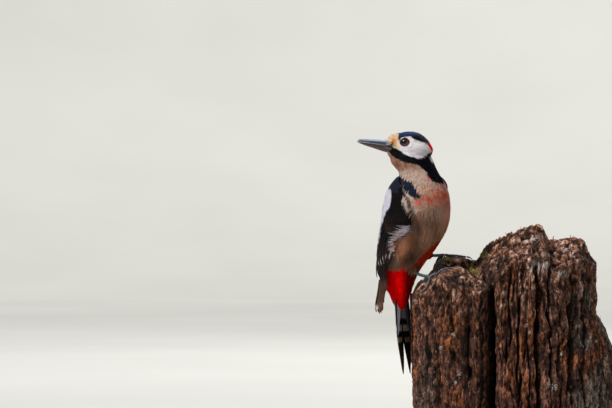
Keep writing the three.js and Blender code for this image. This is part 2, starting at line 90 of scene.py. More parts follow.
TOMIUM = [(-132.4, 265.1), (-130, 264.7), (-123, 263.9), (-116, 262.9), (-108, 261.7), (-100, 259.4)]
GONYS = [(-132.4, 264.6), (-130, 263.5), (-123, 261.5), (-116, 259.2), (-109, 256.9), (-100, 255)]
BILL_WIDTH = [(-132.4, 0.5), (-130, 1.1), (-122, 2.1), (-112, 3.3), (-105, 4.2), (-100, 4.6)]
WING = [
    (237, 86, 15.4, 1.5, 1, 20), (233, 88, 19, 5.5, 1.8, 24), (227, 91, 23, 11.5, 2.6, 26),
    (221, 93, 25.6, 15, 3, 27), (213, 93, 27.2, 17.6, 3.2, 28), (205, 92, 28, 19, 3.2, 29),
    (198, 93, 28.2, 18.5, 3.2, 29), (191, 100, 27.8, 17.5, 3, 29), (186, 110, 27.4, 15, 3, 28),
    (181, 119, 26.6, 12.6, 2.9, 28), (174, 125, 25.2, 12, 2.7, 27), (160, 128, 22.2, 11.6, 2.2, 25),
    (150, 125, 19.8, 9, 1.8, 24), (140, 121, 17.4, 7, 1.4, 30), (132, 122, 17.8, 5.6, 1.2, 50),
    (126, 125, 19.4, 4.4, 1, 80), (120.5, 127, 20, 2, 0.7, 100),
]
LEFT_WING_BACK = [(120, 0), (150, 4), (175, 20), (205, 34), (228, 40), (237, 36)]
TAIL_LINE = [(60, -89, -11.6), (80, -91, -12), (100, -93.4, -12.5), (125, -95.4, -13.2), (152, -97.4, -13.6)]
TAIL_FACING = 35
TAIL_ROOT = 150
TAIL_PAIRS = [(66.6, 5.2, 4.8), (74, 6.6, 4.2), (84, 7.7, 4), (92, 8.6, 3.8), (100, 9.2, 3.6)]
LEGS = {
    "right": {
        "thigh": [(-93, -20, 169), (-88, -25, 161.5), (-82, -28.8, 153.2)],
        "shank": [(-85, -28, 154.4), (-78.5, -29.2, 151.6), (-70.6, -30, 149.8)],
        "toes": [
            [(-67.6, -30.6), (-63.8, -31), (-61.2, -31.5), (-57.6, -32), (-54.8, -32.3)],
            [(-69.2, -27), (-66.4, -23.6), (-63.4, -21.4), (-60.4, -19.8)],
            [(-71.4, -32.8), (-73.4, -34.6), (-76.2, -35.4), (-79.4, -35)],
            [(-73.2, -28.4), (-75.4, -26.4), (-78, -25.2)],
        ],
    },
    "left": {
        "thigh": [(-82, -12, 176), (-74.5, -9, 170), (-67.2, -7.4, 167.6)],
        "shank": [(-72, -8.8, 168.2), (-66, -7, 167.8), (-57.2, -4.6, 168.2)],
        "toes": [
            [(-54, -5), (-50, -5.4), (-45.6, -6), (-41.4, -6.4), (-38.4, -6.6)],
            [(-55.4, -1.9), (-51.8, 0.4), (-47.6, 1.6)],
            [(-57.8, -7.8), (-59, -11.4), (-60.6, -14.8)],
            [(-59.4, -2.2), (-62, -0.2), (-64.6, 1.2)],
        ],
    },
}
SHANK_RADIUS = 1.35
TOE_RADIUS = 1.15
CLAW = {"radius": 0.85, "length": 6.4, "droop": 0.8}
THIGH = {"top": 10, "end": 2.9}

# How far the skin lies inside the solids, which reach to the feathers' outline.
DEPTH = {"head": 0.5, "body": 0.95, "wing": 1.9, "thigh": 0.7}

# ------------------------------------------------------------ numbers


def through(rows, column=1):
    """A smooth function through rows of numbers: the first column is where, `column` is the value."""
    table = np.array(rows, float)
    table = table[np.argsort(table[:, 0], kind="stable")]
    at, values = table[:, 0], table[:, column]
    before = np.maximum(np.arange(len(at)) - 1, 0)
    after = np.minimum(np.arange(len(at)) + 1, len(at) - 1)
    slopes = (values[after] - values[before]) / (at[after] - at[before])

    def value(where):
        x = np.clip(where, at[0], at[-1])
        i = np.clip(np.searchsorted(at, x, side="right") - 1, 0, len(at) - 2)
        span = at[i + 1] - at[i]
        t = (x - at[i]) / span
        t2, t3 = t * t, t * t * t
        return (
            (2 * t3 - 3 * t2 + 1) * values[i]
            + (t3 - 2 * t2 + t) * span * slopes[i]
            + (3 * t2 - 2 * t3) * values[i + 1]
            + (t3 - t2) * span * slopes[i + 1]
        )

    return value


def smooth(t):
    t = np.clip(t, 0, 1)
    return t * t * (3 - 2 * t)


def mix(a, b, t):
    return a + (b - a) * t


def unit(v):
    return v / np.maximum(np.linalg.norm(v, axis=-1, keepdims=True), 1e-9)


def dot(a, b):
    return (a * b).sum(-1, keepdims=True)


def stack(x, y, z):
    return np.stack(np.broadcast_arrays(x, y, z), -1).astype(float)


def hashed(ix, iy, iz, seed):
    n = (ix * 374761393 + iy * 668265263 + iz * 1440662683 + seed * 1274126177) & 0xFFFFFFFF
    n = ((n ^ (n >> 13)) * 1274126177) & 0xFFFFFFFF
    return ((n ^ (n >> 16)) & 0xFFFF) / 65535.0


def noise(p, size, seed):
    """Smooth noise from 0 to 1 at points in mm. size is that of one blob, as a number or along each axis."""
    p = p / np.array(size)
    base = np.floor(p).astype(np.int64)
    f = smooth(p - base)
    total = 0
    for dx in (0, 1):
        for dy in (0, 1):
            for dz in (0, 1):
                weight = 1
                for axis, d in enumerate((dx, dy, dz)):
                    weight = weight * (f[..., axis] if d else 1 - f[..., axis])
                total = total + weight * hashed(base[..., 0] + dx, base[..., 1] + dy, base[..., 2] + dz, seed)
    return total


def fractal(p, size, octaves, seed):
    """Noise with finer noise over it, each octave half as big and half as strong."""
    p = p / np.array(size)
    total, weight = 0, 0
    for i in range(octaves):
        total = total + noise(p * 2**i, 1, seed + 17 * i) / 2**i
        weight += 1 / 2**i
    return total / weight


def linear(code):
    """A colour written as six hex digits, as linear red, green and blue."""
    s = np.array([int(code[i : i + 2], 16) / 255 for i in (0, 2, 4)])
    return np.where(s <= 0.04045, s / 12.92, ((s + 0.055) / 1.055) ** 2.4)


# ------------------------------------------------------------ meshes


def new_object(name, points, groups, smooth_faces=True):
    """A mesh of points in mm, with each group of faces an array of rows of corners."""
    groups = [np.asarray(g, np.int32) for g in groups if len(g)]
    mesh = bpy.data.meshes.new(name)
    mesh.vertices.add(len(points))
    mesh.vertices.foreach_set("co", (np.asarray(points) * MM).astype(np.float32).ravel())
    corners = np.concatenate([g.ravel() for g in groups])
    mesh.loops.add(len(corners))
    mesh.loops.foreach_set("vertex_index", corners)
    sizes = np.concatenate([np.full(len(g), g.shape[1], np.int32) for g in groups])
    mesh.polygons.add(len(sizes))
    mesh.polygons.foreach_set("loop_start", np.concatenate([[0], np.cumsum(sizes)[:-1]]).astype(np.int32))
    mesh.update(calc_edges=True)
    mesh.shade_smooth() if smooth_faces else mesh.shade_flat()
    obj = bpy.data.objects.new(name, mesh)
    bpy.context.scene.collection.objects.link(obj)
    return obj


def store(obj, name, values):
    """Keeps a number at each point under a name that materials read."""
    obj.data.attributes.new(name, "FLOAT", "POINT").data.foreach_set("value", np.asarray(values, np.float32))


def paint(obj, colours, gloss=None):
    """Stores a colour, and how glossy it is, at each point."""
    rgba = np.ones((len(colours), 4), np.float32)
    rgba[:, :3] = np.clip(colours, 0, 1)
    obj.data.attributes.new("Tint", "FLOAT_COLOR", "POINT").data.foreach_set("color", rgba.ravel())
    if gloss is not None:
        store(obj, "Gloss", gloss)


def unwrap(obj, uv, name="OFBake"):
    """Gives each point's place on a map."""
    index = np.zeros(len(obj.data.loops), np.int32)
    obj.data.loops.foreach_get("vertex_index", index)
    layer = obj.data.uv_layers.new(name=name)
    layer.data.foreach_set("uv", np.asarray(uv, np.float32)[index].ravel())


def facing_out(points, groups):
    """The faces, turned over if they enclose a negative volume."""
    volume = 0
    for g in groups:
        for i in range(1, g.shape[1] - 1):
            a, b, c = points[g[:, 0]], points[g[:, i]], points[g[:, i + 1]]
            volume += (a * np.cross(b, c)).sum()
    return groups if volume > 0 else [g[:, ::-1] for g in groups]


def ring_faces(rings, sides, first=0):
    i, j = np.meshgrid(np.arange(rings - 1), np.arange(sides), indexing="ij")
    a = first + i * sides + j
    b = first + i * sides + (j + 1) % sides
    return np.stack([a, b, b + sides, a + sides], -1).reshape(-1, 4)


def fan(tip, ring):
    """Triangles from a tip to each side of a ring of points."""
    return np.stack([np.full(len(ring), tip), ring, np.roll(ring, -1)], -1)


def form(rings, sides, place):
    """A closed surface: place(u, angle) gives the points of ring u, from 0 to 1, at angles round it."""
    u = np.linspace(0, 1, rings + 1)[1:-1]
    angles = 2 * np.pi * np.arange(sides) / sides
    wide_u, wide_a = (g.ravel() for g in np.meshgrid(u, angles, indexing="ij"))
    ends = [
        (place(np.array([e]), np.array([0.0])) + place(np.array([e]), np.array([np.pi]))) / 2
        for e in (0.0, 1.0)
    ]
    points = np.concatenate([place(wide_u, wide_a), ends[0], ends[1]])
    last = (rings - 1) * sides
    ring = np.arange(sides)
    top = fan(last, ring)[:, [0, 2, 1]]
    return points, facing_out(points, [ring_faces(rings - 1, sides), top, fan(last + 1, last - sides + ring)])


def joined(parts):
    """One set of points and faces from several."""
    points, groups, first = [], {}, 0
    for p, gs in parts:
        for g in gs:
            groups.setdefault(g.shape[1], []).append(g + first)
        points.append(p)
        first += len(p)
    return np.concatenate(points), [np.concatenate(g) for g in groups.values()]


def remeshed(name, parts, voxel, rounds):
    """One even skin over overlapping closed forms."""
    rough = new_object(name + "_rough", *joined(parts))
    cells = rough.modifiers.new("cells", "REMESH")
    cells.mode = "VOXEL"
    cells.voxel_size = voxel * MM
    even = rough.modifiers.new("even", "SMOOTH")
    even.factor = 0.5
    even.iterations = rounds
    made = bpy.data.meshes.new_from_object(rough.evaluated_get(bpy.context.evaluated_depsgraph_get()))
    bpy.data.objects.remove(rough)
    points = np.zeros(len(made.vertices) * 3, np.float32)
    made.vertices.foreach_get("co", points)
    faces = np.zeros(len(made.loops), np.int32)
    made.loops.foreach_get("vertex_index", faces)
    bpy.data.meshes.remove(made)
    return points.reshape(-1, 3).astype(float) / MM, [faces.reshape(-1, 4)]


def round_ends(u):
    return (1 - np.cos(np.pi * u)) / 2


def curve_through(points):
    """A smooth curve: where(u) gives its points, along(u) its directions."""
    points = np.array(points, float)
    steps = np.concatenate([[0], np.cumsum(np.linalg.norm(np.diff(points, axis=0), axis=1))])
    axes = [through(np.stack([steps / steps[-1], points[:, i]], 1)) for i in range(3)]

    def where(u):
        return np.stack([axis(u) for axis in axes], -1)

    def along(u):
        return unit(where(np.minimum(u + 0.01, 1)) - where(np.maximum(u - 0.01, 0)))

    return where, along


def tube(points, radius, rings=24, sides=16):
    """A tube with round ends. radius(u, angle) is its size."""
    where, along = curve_through(points)
    middle = along(np.array([0.5]))[0]
    across = np.cross(middle, (1, 0, 0) if abs(middle[2]) > 0.8 else (0, 0, 1))

    def place(u, angle):
        t = 0.3 * u + 0.7 * round_ends(u)
        ends = np.sqrt(np.maximum(0, 1 - np.abs(2 * t - 1) ** 12))
        tangent = along(t)
        first = unit(across - dot(tangent, across) * tangent)
        second = np.cross(tangent, first)
        reach = (radius(t, angle) * ends)[:, None]
        return where(t) + reach * (first * np.cos(angle)[:, None] + second * np.sin(angle)[:, None])

    return form(rings, sides, place)


# ------------------------------------------------------------ materials


class Nodes:
    """A short way to write a material's nodes."""

    def __init__(self, name, slot_roughness=0.6):
        self.material = bpy.data.materials.new(name)
        self.material.use_nodes = True
        self.tree = self.material.node_tree
        self.shader = self.tree.nodes["Principled BSDF"]
        self.shader.inputs["Roughness"].default_value = slot_roughness

    def feed(self, socket, value):
        """Links a value to a socket, or sets it there. A colour is six hex digits."""
        if isinstance(value, bpy.types.NodeSocket):
            self.tree.links.new(value, socket)
        else:
            socket.default_value = (*linear(value), 1) if isinstance(value, str) else value

    def add(self, kind, inputs=None, **settings):
        node = self.tree.nodes.new(kind)
        for key, value in settings.items():
            setattr(node, key, value)
        for key, value in (inputs or {}).items():
            self.feed(node.inputs[key], value)
        return node

    def set(self, **inputs):
        for key, value in inputs.items():
            self.feed(self.shader.inputs[key.replace("_", " ")], value)
        return self

    def place(self, scale=(1, 1, 1)):
        """Object coordinates in millimetres, stretched by scale."""
        coordinates = self.add("ShaderNodeTexCoord").outputs["Object"]
        scale = tuple(s / MM for s in scale)
        return self.add("ShaderNodeMapping", {"Vector": coordinates, "Scale": scale}).outputs["Vector"]

    def noise(self, scale, detail=3.0, roughness=0.55, stretch=(1, 1, 1)):
        where = self.place(stretch)
        inputs = {"Vector": where, "Scale": scale, "Detail": detail, "Roughness": roughness}
        return self.add("ShaderNodeTexNoise", inputs).outputs["Fac"]

    def attribute(self, name, output="Color"):
        return self.add("ShaderNodeAttribute", attribute_name=name).outputs[output]

    def ramp(self, value, stops):
        node = self.add("ShaderNodeValToRGB", {"Fac": value})
        elements = node.color_ramp.elements
        while len(elements) < len(stops):
            elements.new(0.5)
        for element, (position, colour) in zip(elements, stops):
            element.position = position
            element.color = (*(linear(colour) if isinstance(colour, str) else (colour,) * 3), 1)
        return node.outputs["Color"]

    def blend(self, a, b, factor, kind="MIX"):
        inputs = {0: factor, 6: a, 7: b}
        return self.add("ShaderNodeMix", inputs, data_type="RGBA", blend_type=kind).outputs[2]

    def math(self, operation, a, b=0.0, c=0.0):
        return self.add("ShaderNodeMath", {0: a, 1: b, 2: c}, operation=operation).outputs["Value"]

    def sum(self, a, share_a, b, share_b):
        """Two values, each by its share."""
        return self.math("ADD", self.math("MULTIPLY", a, share_a), self.math("MULTIPLY", b, share_b))

    def bump(self, height, distance, strength=1.0):
        """distance is in millimetres."""
        inputs = {"Height": height, "Distance": distance * MM, "Strength": strength}
        return self.set(Normal=self.add("ShaderNodeBump", inputs).outputs["Normal"])


def plumage_material(name, barbs):
    """Feathers: the painted markings with fine variation, glossier where they are black."""
    m = Nodes(name)
    fine = m.noise(1.6, 4.0, 0.6)
    shade = m.ramp(fine, [(0.3, 0.72), (0.7, 1.0)])
    m.set(Base_Color=m.blend(m.attribute("Tint"), shade, 0.75, "MULTIPLY"))
    gloss = m.attribute("Gloss", "Fac")
    m.set(Roughness=m.math("SUBTRACT", 0.82, m.math("MULTIPLY", gloss, 0.36)))
    m.set(Specular_IOR_Level=0.04)
    if barbs:
        where = m.add("ShaderNodeUVMap", uv_map="Vane").outputs["UV"]
        lines = m.add(
            "ShaderNodeTexWave", {"Vector": where, "Scale": 1.0, "Distortion": 0.6}, bands_direction="Y"
        )
        m.bump(lines.outputs["Fac"], 0.12, 0.5)
    else:
        m.bump(fine, 0.06, 0.3)
    return m.material


def leg_material():
    m = Nodes("leg_scales", 0.5)
    cells = m.add("ShaderNodeTexVoronoi", {"Vector": m.place(), "Scale": 1.5, "Randomness": 0.8})
    dust = m.noise(0.9, 4.0)
    base = m.ramp(dust, [(0.3, "2f3236"), (0.55, "565c61"), (0.8, "7d8486")])
    dark = m.ramp(cells.outputs["Distance"], [(0.0, 1.0), (0.55, 0.9), (0.85, 0.45)])
    m.set(Base_Color=m.blend(base, dark, 1.0, "MULTIPLY"), Specular_IOR_Level=0.4)
    m.bump(m.math("SUBTRACT", 1.0, cells.outputs["Distance"]), 0.25, 0.8)
    return m.material


def plain_material(name, roughness, grain, stops, specular, *bump):
    """One fine noise, which colours the surface and is its relief."""
    m = Nodes(name, roughness)
    height = m.noise(*grain)
    m.set(Base_Color=m.ramp(height, stops), Specular_IOR_Level=specular)
    m.bump(height, *bump)
    return m.material


def bill_material():
    """Horn: the painted colour, with its painted highlights and shade, and fine streaks along the bill."""
    m = Nodes("bill_horn", 0.36)
    streaks = m.noise(0.9, 5.0, 0.62, stretch=(0.14, 1.6, 1.6))
    worn = m.ramp(streaks, [(0.32, 0.62), (0.7, 1.12)])
    m.set(Base_Color=m.blend(m.attribute("Tint"), worn, 0.85, "MULTIPLY"), Specular_IOR_Level=0.5)
    m.set(Roughness=m.math("MULTIPLY_ADD", streaks, 0.22, 0.26), Coat_Weight=0.15, Coat_Roughness=0.25)
    m.bump(streaks, 0.16, 0.7)
    return m.material


def eye_material():
    """Pupil, deep red-brown iris and dark rim by how far a point lies round from the front of the eye. The
    iris is painted lit, bright red, on its lower rear side, and in near-black shade elsewhere; Low says
    where.
    """
    m = Nodes("eye_gloss", 0.08)
    around = m.attribute("Round", "Fac")
    rays = m.noise(2.2, 4.0, 0.6)
    bent = m.math("ADD", around, m.math("MULTIPLY", m.math("SUBTRACT", rays, 0.5), 0.02))
    # Painted shade: the iris is near black where it faces up and forward.
    upper = [
        (0.0, "020202"), (0.2, "030203"), (0.225, "100507"), (0.31, "0f0507"), (0.38, "070305"),
        (0.5, "030204")
    ]
    # Painted light: the iris is bright red where it faces down and back.
    lower = [
        (0.0, "020202"), (0.2, "050203"), (0.225, "820c12"), (0.32, "8e0c12"), (0.39, "2c0808"),
        (0.5, "0b0607")
    ]
    m.set(Base_Color=m.blend(m.ramp(bent, upper), m.ramp(bent, lower), m.attribute("Low", "Fac")))
    m.set(Specular_IOR_Level=0.0, Coat_Weight=1.0, Coat_Roughness=0.03)
    m.bump(rays, 0.004, 0.1)
    return m.material


def wood_material():
    """Weathered oak: rust-brown ridges, near-black grooves and pits that are painted shade, and a paler
    broken top that is partly weathered wood and partly painted highlight.
    """
    m = Nodes("weathered_wood", 0.85)
    fibres = m.noise(0.5, 8.0, 0.72, stretch=(1, 1, 0.16))
    fine = m.noise(1.3, 7.0, 0.75, stretch=(1, 1, 0.3))
    patches = m.noise(0.05, 5.0, 0.65, stretch=(1, 1, 0.6))
    coarse = m.noise(0.24, 6.0, 0.7, stretch=(1, 1, 0.7))
    speckle = m.sum(coarse, 0.7, m.noise(0.8, 7.0, 0.75), 0.3)
    grain = m.sum(fibres, 0.5, fine, 0.5)
    side = m.ramp(
        grain, [(0.4, "0f0806"), (0.46, "38221a"), (0.52, "644135"), (0.59, "8a6151"), (0.68, "c5a396")]
    )
    rust = m.ramp(grain, [(0.4, "180b06"), (0.47, "5c301b"), (0.54, "8f5128"), (0.65, "c89465")])
    side = m.blend(side, rust, m.ramp(patches, [(0.47, 0.0), (0.6, 0.7)]))
    side = m.blend(side, m.ramp(coarse, [(0.37, 0.3), (0.5, 1.1), (0.61, 2.2)]), 0.8, "MULTIPLY")
    grey = m.ramp(grain, [(0.4, "151311"), (0.48, "47413b"), (0.57, "827b70"), (0.68, "d8d3cf")])
    side = m.blend(side, grey, m.attribute("Grey", "Fac"))
    # The paler broken top: partly weathered wood, partly painted highlight on the up-facing wood, its
    # lightest stops near white.
    top = m.ramp(
        speckle, [(0.41, "120906"), (0.455, "4c2d1f"), (0.5, "86573f"), (0.55, "c0937b"), (0.61, "f4e4dc")]
    )
    wood = m.blend(side, top, m.attribute("Top", "Fac"))
    # Pale pinkish patches: partly bleach, partly painted highlight.
    pale_bleach_and_highlight = m.math("MULTIPLY", m.attribute("Pale", "Fac"), m.ramp(speckle, [(0.43, 0.0), (0.54, 0.95)]))
    wood = m.blend(wood, "d8c3bb", pale_bleach_and_highlight)
    # Painted shade: small near-black pits, with no hollow under them.
    pits = m.noise(0.42, 5.0, 0.6, stretch=(1, 1, 0.4))
    wood = m.blend(wood, m.ramp(pits, [(0.38, 0.06), (0.45, 1.0)]), 0.9, "MULTIPLY")
    # Painted shade: near-black where the relief is deep, in grooves, pits, holes and splits.
    wood = m.blend(wood, "0b0706", m.attribute("Groove", "Fac"))
    m.set(Base_Color=wood, Specular_IOR_Level=0.15)
    m.bump(m.math("ADD", grain, m.math("MULTIPLY", speckle, 0.5)), 1.6, 1.0)
    return m.material


def stand_material():
    """The stand's board: dark oiled wood with a fine grain along X."""
    m = Nodes("stand_wood", 0.45)
    grain = m.noise(0.5, 6.0, 0.65, stretch=(0.05, 1, 1))
    pores = m.noise(2.2, 3.0, 0.6, stretch=(0.07, 1, 1))
    wood = m.ramp(grain, [(0.3, "1c130e"), (0.5, "33241a"), (0.7, "4a3627")])
    m.set(Base_Color=m.blend(wood, m.ramp(pores, [(0.35, 0.6), (0.5, 1.0)]), 0.7, "MULTIPLY"))
    m.set(Roughness=m.math("MULTIPLY_ADD", grain, 0.3, 0.34), Specular_IOR_Level=0.4)
    m.bump(pores, 0.12, 0.5)
    return m.material


def steel_material():
    """Brushed steel, with rings of fine turning marks along Z."""
    m = Nodes("stand_steel", 0.34)
    rings = m.noise(1.0, 3.0, 0.6, stretch=(0.1, 0.1, 9))
    m.set(Base_Color=m.ramp(rings, [(0.3, "8f9092"), (0.7, "b8b9bb")]), Metallic=1.0)
    m.set(Roughness=m.math("MULTIPLY_ADD", rings, 0.2, 0.24))
    m.bump(rings, 0.03, 0.5)
    return m.material


def put(obj, material):
    obj.data.materials.append(material)
    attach(obj, "root")
    return obj


# ------------------------------------------------------------ the body's forms

centre_x, centre_y, half_x, half_y = (through(BODY, column) for column in (1, 2, 3, 4))
facing = through(FACING)
head_line, crown, chin, cheek = (through(rows) for rows in (HEAD_LINE, CROWN, CHIN, CHEEK))
culmen, tomium, gonys, bill_width = (through(rows) for rows in (CULMEN, TOMIUM, GONYS, BILL_WIDTH))
wing_angle, wing_distance, wing_half, wing_thick, wing_curve = (
    through(WING, column) for column in (1, 2, 3, 4, 5)
)
left_wing_back = through(LEFT_WING_BACK)
tail_x, tail_y = through(TAIL_LINE, 1), through(TAIL_LINE, 2)


def body_direction(z, angle):
    """The direction in plan at an angle from the breastbone. Positive turns to the bird's left."""
    world = np.radians(angle - facing(z))
    return stack(np.cos(world), np.sin(world), 0)


def turn_of(p):
    """The angle of points round the body from the breastbone, from -180 to 180."""
    world = np.degrees(np.arctan2(p[:, 1] - centre_y(p[:, 2]), p[:, 0] - centre_x(p[:, 2])))
    return (world + facing(p[:, 2]) + 180) % 360 - 180


def body_form(depth):
    top, bottom = BODY[0][0], BODY[-1][0] + 3

    def place(u, angle):
        z = mix(top, bottom, 0.7 * u + 0.3 * round_ends(u))
        inner = np.where((u < 1e-6) | (u > 1 - 1e-6), 0, 1)
        reach = [np.maximum(0.4, half(z) - depth) * inner for half in (half_x, half_y)]
        return stack(centre_x(z) + reach[0] * np.cos(angle), centre_y(z) + reach[1] * np.sin(angle), z)

    return form(90, 72, place)


def head_form(depth):
    def place(u, angle):
        long = HEAD_HALF - depth
        along = -long * np.cos(np.pi * u)
        end = np.sin(np.pi * u)
        tall = np.where(np.sin(angle) > 0, crown(along), chin(along)) - depth
        up = np.sin(angle) * end * tall
        wide = np.cos(angle) * end * (cheek(along) - depth)
        return stack(HEAD[0] - along, HEAD[1] - wide, HEAD[2] + head_line(along) + up)

    return form(60, 72, place)


def wing_point(side, z, across, out):
    """A point of a wing: across runs from -1 at its belly edge to 1 at its back edge, out from its face."""
    normal = body_direction(z, side * (wing_angle(z) + (left_wing_back(z) if side > 0 else 0)))
    along = side * stack(-normal[..., 1], normal[..., 0], 0)
    reach = across * wing_half(z)
    distance = wing_distance(z) + out - reach * reach / (2 * wing_curve(z))
    middle = stack(centre_x(z), centre_y(z), z)
    return middle + normal * distance[..., None] + along * reach[..., None]


def wing_form(side, depth):
    top, bottom = WING[0][0] - depth, 176

    def place(u, angle):
        down = 0.3 * u + 0.7 * round_ends(u)
        z = mix(top, bottom, down)
        end = np.sqrt(np.maximum(0, 1 - (2 * down - 1) ** 8))
        wide = np.cos(angle) * end * np.maximum(0.1, 1 - depth / wing_half(z))
        thick = np.sin(angle) * end * np.maximum(0.5, wing_thick(z) - depth)
        return wing_point(side, z, wide, thick)

    return form(70, 48, place)


ridge = through(RIDGE)


def top_height(x, y):
    """The height of the post's broken top."""
    ahead = np.maximum(0, POST["ridge_y"] - y)
    behind = np.maximum(0, y - POST["ridge_y"] - 12)
    near = (FALL["lip"] + FALL["near"] * smooth((x + 71) / 10)) * smooth(ahead / 24)
    brow = FALL["brow"] * smooth((ahead - 25) / 9) * smooth((-64 - x) / 6)
    front = FALL["front"] * smooth((ahead - 24) / 44) * smooth((x + 70) / 14)
    return ridge(x) - near - brow - front - FALL["back"] * smooth(behind / 60)


def thigh_form(leg, depth):
    return tube(leg["thigh"], lambda u, angle: mix(THIGH["top"], THIGH["end"], u) - depth + 0 * angle)


# ------------------------------------------------------------ markings

BLACK = linear("08080b")
# Navy, blue and blue-black are painted sheen on the black plumage.
NAVY_SHEEN = linear("20263a")
CROWN_SHEEN_BLUE = linear("394a79")
SHEEN_BLUE_BLACK = linear("181e2e")
WHITE = linear("efe9ed")
PALE = linear("cbb9b1")
CREAM = linear("b9a093")
BUFF = linear("aa8675")
WARM = linear("a06a4c")
RUST = linear("86492f")
THROAT = linear("7f5a46")
ORANGE = linear("cf3f1d")
BROWN = linear("76523f")
GREY_BROWN = linear("77645a")
DARK_BROWN = linear("39261b")
RED = np.array([1.0, 0.0, 0.001])
# The red in shade, painted at the right of the red under the tail.
SHADED_RED = linear("470102")
OCHRE = linear("d18a44")
LAVENDER = linear("bdbac9")

# Edges of the head's markings in profile, as heights along X.
CROWN_EDGE = [
    (-101, 270.5), (-98.6, 268), (-97.2, 266.4), (-95.4, 268), (-91.8, 268.8), (-87.8, 268.9),
    (-85, 267), (-80.8, 265.3), (-75.1, 263.7), (-72, 261),
]
CHEEK_LOW = [
    (-104, 260.6), (-101.5, 259.8), (-96.5, 257.2), (-92.1, 254), (-86.7, 251.9), (-81.3, 250.4),
    (-77.5, 251), (-74.8, 252.2), (-72.6, 255.1), (-70, 256),
]
MALAR_LOW = [
    (-106, 256.4), (-103, 253.2), (-100, 251), (-95.9, 248.6), (-92.1, 247.1), (-86.7, 246.1),
    (-82.2, 245), (-78.5, 242.8), (-74.2, 238.8), (-72.2, 234.6), (-68.8, 231.3), (-62.3, 229.1),
    (-58, 229),
]
CHEEK_REAR = [(250, -68.6), (256, -69.2), (258.6, -70.4), (261.5, -72.2), (263.7, -74.2), (266, -77)]
BAR_REAR = [
    (228, -59), (231.3, -59.6), (236, -60.8), (241.5, -63.6), (243.2, -67.4), (246.4, -69.2),
    (252, -70.6), (256, -66),
]
# Where the feathers of the face end against the bill: their foremost place along X at each height.
FACE_FRONT = [
    (255.5, -109.5), (256.6, -105.2), (258.7, -103), (261.5, -102.2), (263.6, -103.4), (265.4, -106),
    (267, -108.4),
]
# The black bar at the right side of the breast: height, the angle of its middle, and half its width in
# degrees.
BREAST_BAR = [
    (216, -31, 3), (218.5, -35, 8), (221, -40, 11), (224, -46, 13), (230, -51, 20), (233, -63, 15),
    (237, -77, 10),
]
# The red of the vent: how high it reaches at each angle from the middle of the belly, which faces 15
# degrees ahead.
RED_EDGE = [(0, 184), (21, 179), (31, 173.7), (39, 167.6), (46, 161), (60, 157.5), (90, 156.5), (180, 156)]
VENT_FACING = 15

crown_edge, cheek_low, malar_low = (through(rows) for rows in (CROWN_EDGE, CHEEK_LOW, MALAR_LOW))
cheek_rear, bar_rear, red_edge = (through(rows) for rows in (CHEEK_REAR, BAR_REAR, RED_EDGE))
bar_middle, bar_half = through(BREAST_BAR, 1), through(BREAST_BAR, 2)
face_front = through(FACE_FRONT)


def over(base, colour, amount):
    """A colour, or the one of six hex digits, laid over another by an amount from 0 to 1."""
    if isinstance(colour, str):
        colour = linear(colour)
    return base + (colour - base) * np.clip(amount, 0, 1)[:, None]


def filled(colour, count):
    return np.tile(linear(colour) if isinstance(colour, str) else colour, (count, 1))


def spot(x, z, at_x, at_z, half_x, half_z, reach=1.0):
    """A soft mark, oval in the picture: 1 inside, and 0 from `reach` half widths out."""
    return smooth(reach - np.hypot((x - at_x) / half_x, (z - at_z) / half_z))


def edge(distance, soft=0.5):
    """From 0 to 1 as a distance in mm passes 0."""
    return smooth(distance / soft + 0.5)


def near_thigh(p):
    """How near points lie to the feathered thigh of the right leg, from 0 to 1."""
    where, _ = curve_through(LEGS["right"]["thigh"])
    reach = np.full(len(p), 1e3)
    for u in np.linspace(0.25, 1, 12):
        size = mix(THIGH["top"], THIGH["end"], u)
        reach = np.minimum(reach, np.linalg.norm(p - where(np.array([u])), axis=1) - size)
    return smooth(1 - reach / 1.6)


# The white strip down the near wing's back edge: its inner edge along X in the picture, at each height.
WHITE_STRIP = [
    (225, -105.5), (220.8, -103.4), (215.9, -104), (209.8, -105.2), (203.8, -108.6), (200.1, -109.9),
    (191.6, -112.2), (179.5, -114), (176, -115),
]
strip_x = through(WHITE_STRIP)
vent_right = through([(160, -81.6), (150, -83.6), (143, -85.4), (131, -87.8), (122, -88.6)])


def shoulder_white(p):
    """How far points belong to the white strip, which runs out to the near wing's back edge."""
    ragged = 1.6 * (noise(p, (1.5, 1.5, 5), 43) - 0.5)
    return (
        edge(strip_x(p[:, 2]) + ragged - p[:, 0], 0.5) * edge(p[:, 2] - 177.5, 1.5) * edge(225 - p[:, 2], 2)
    )


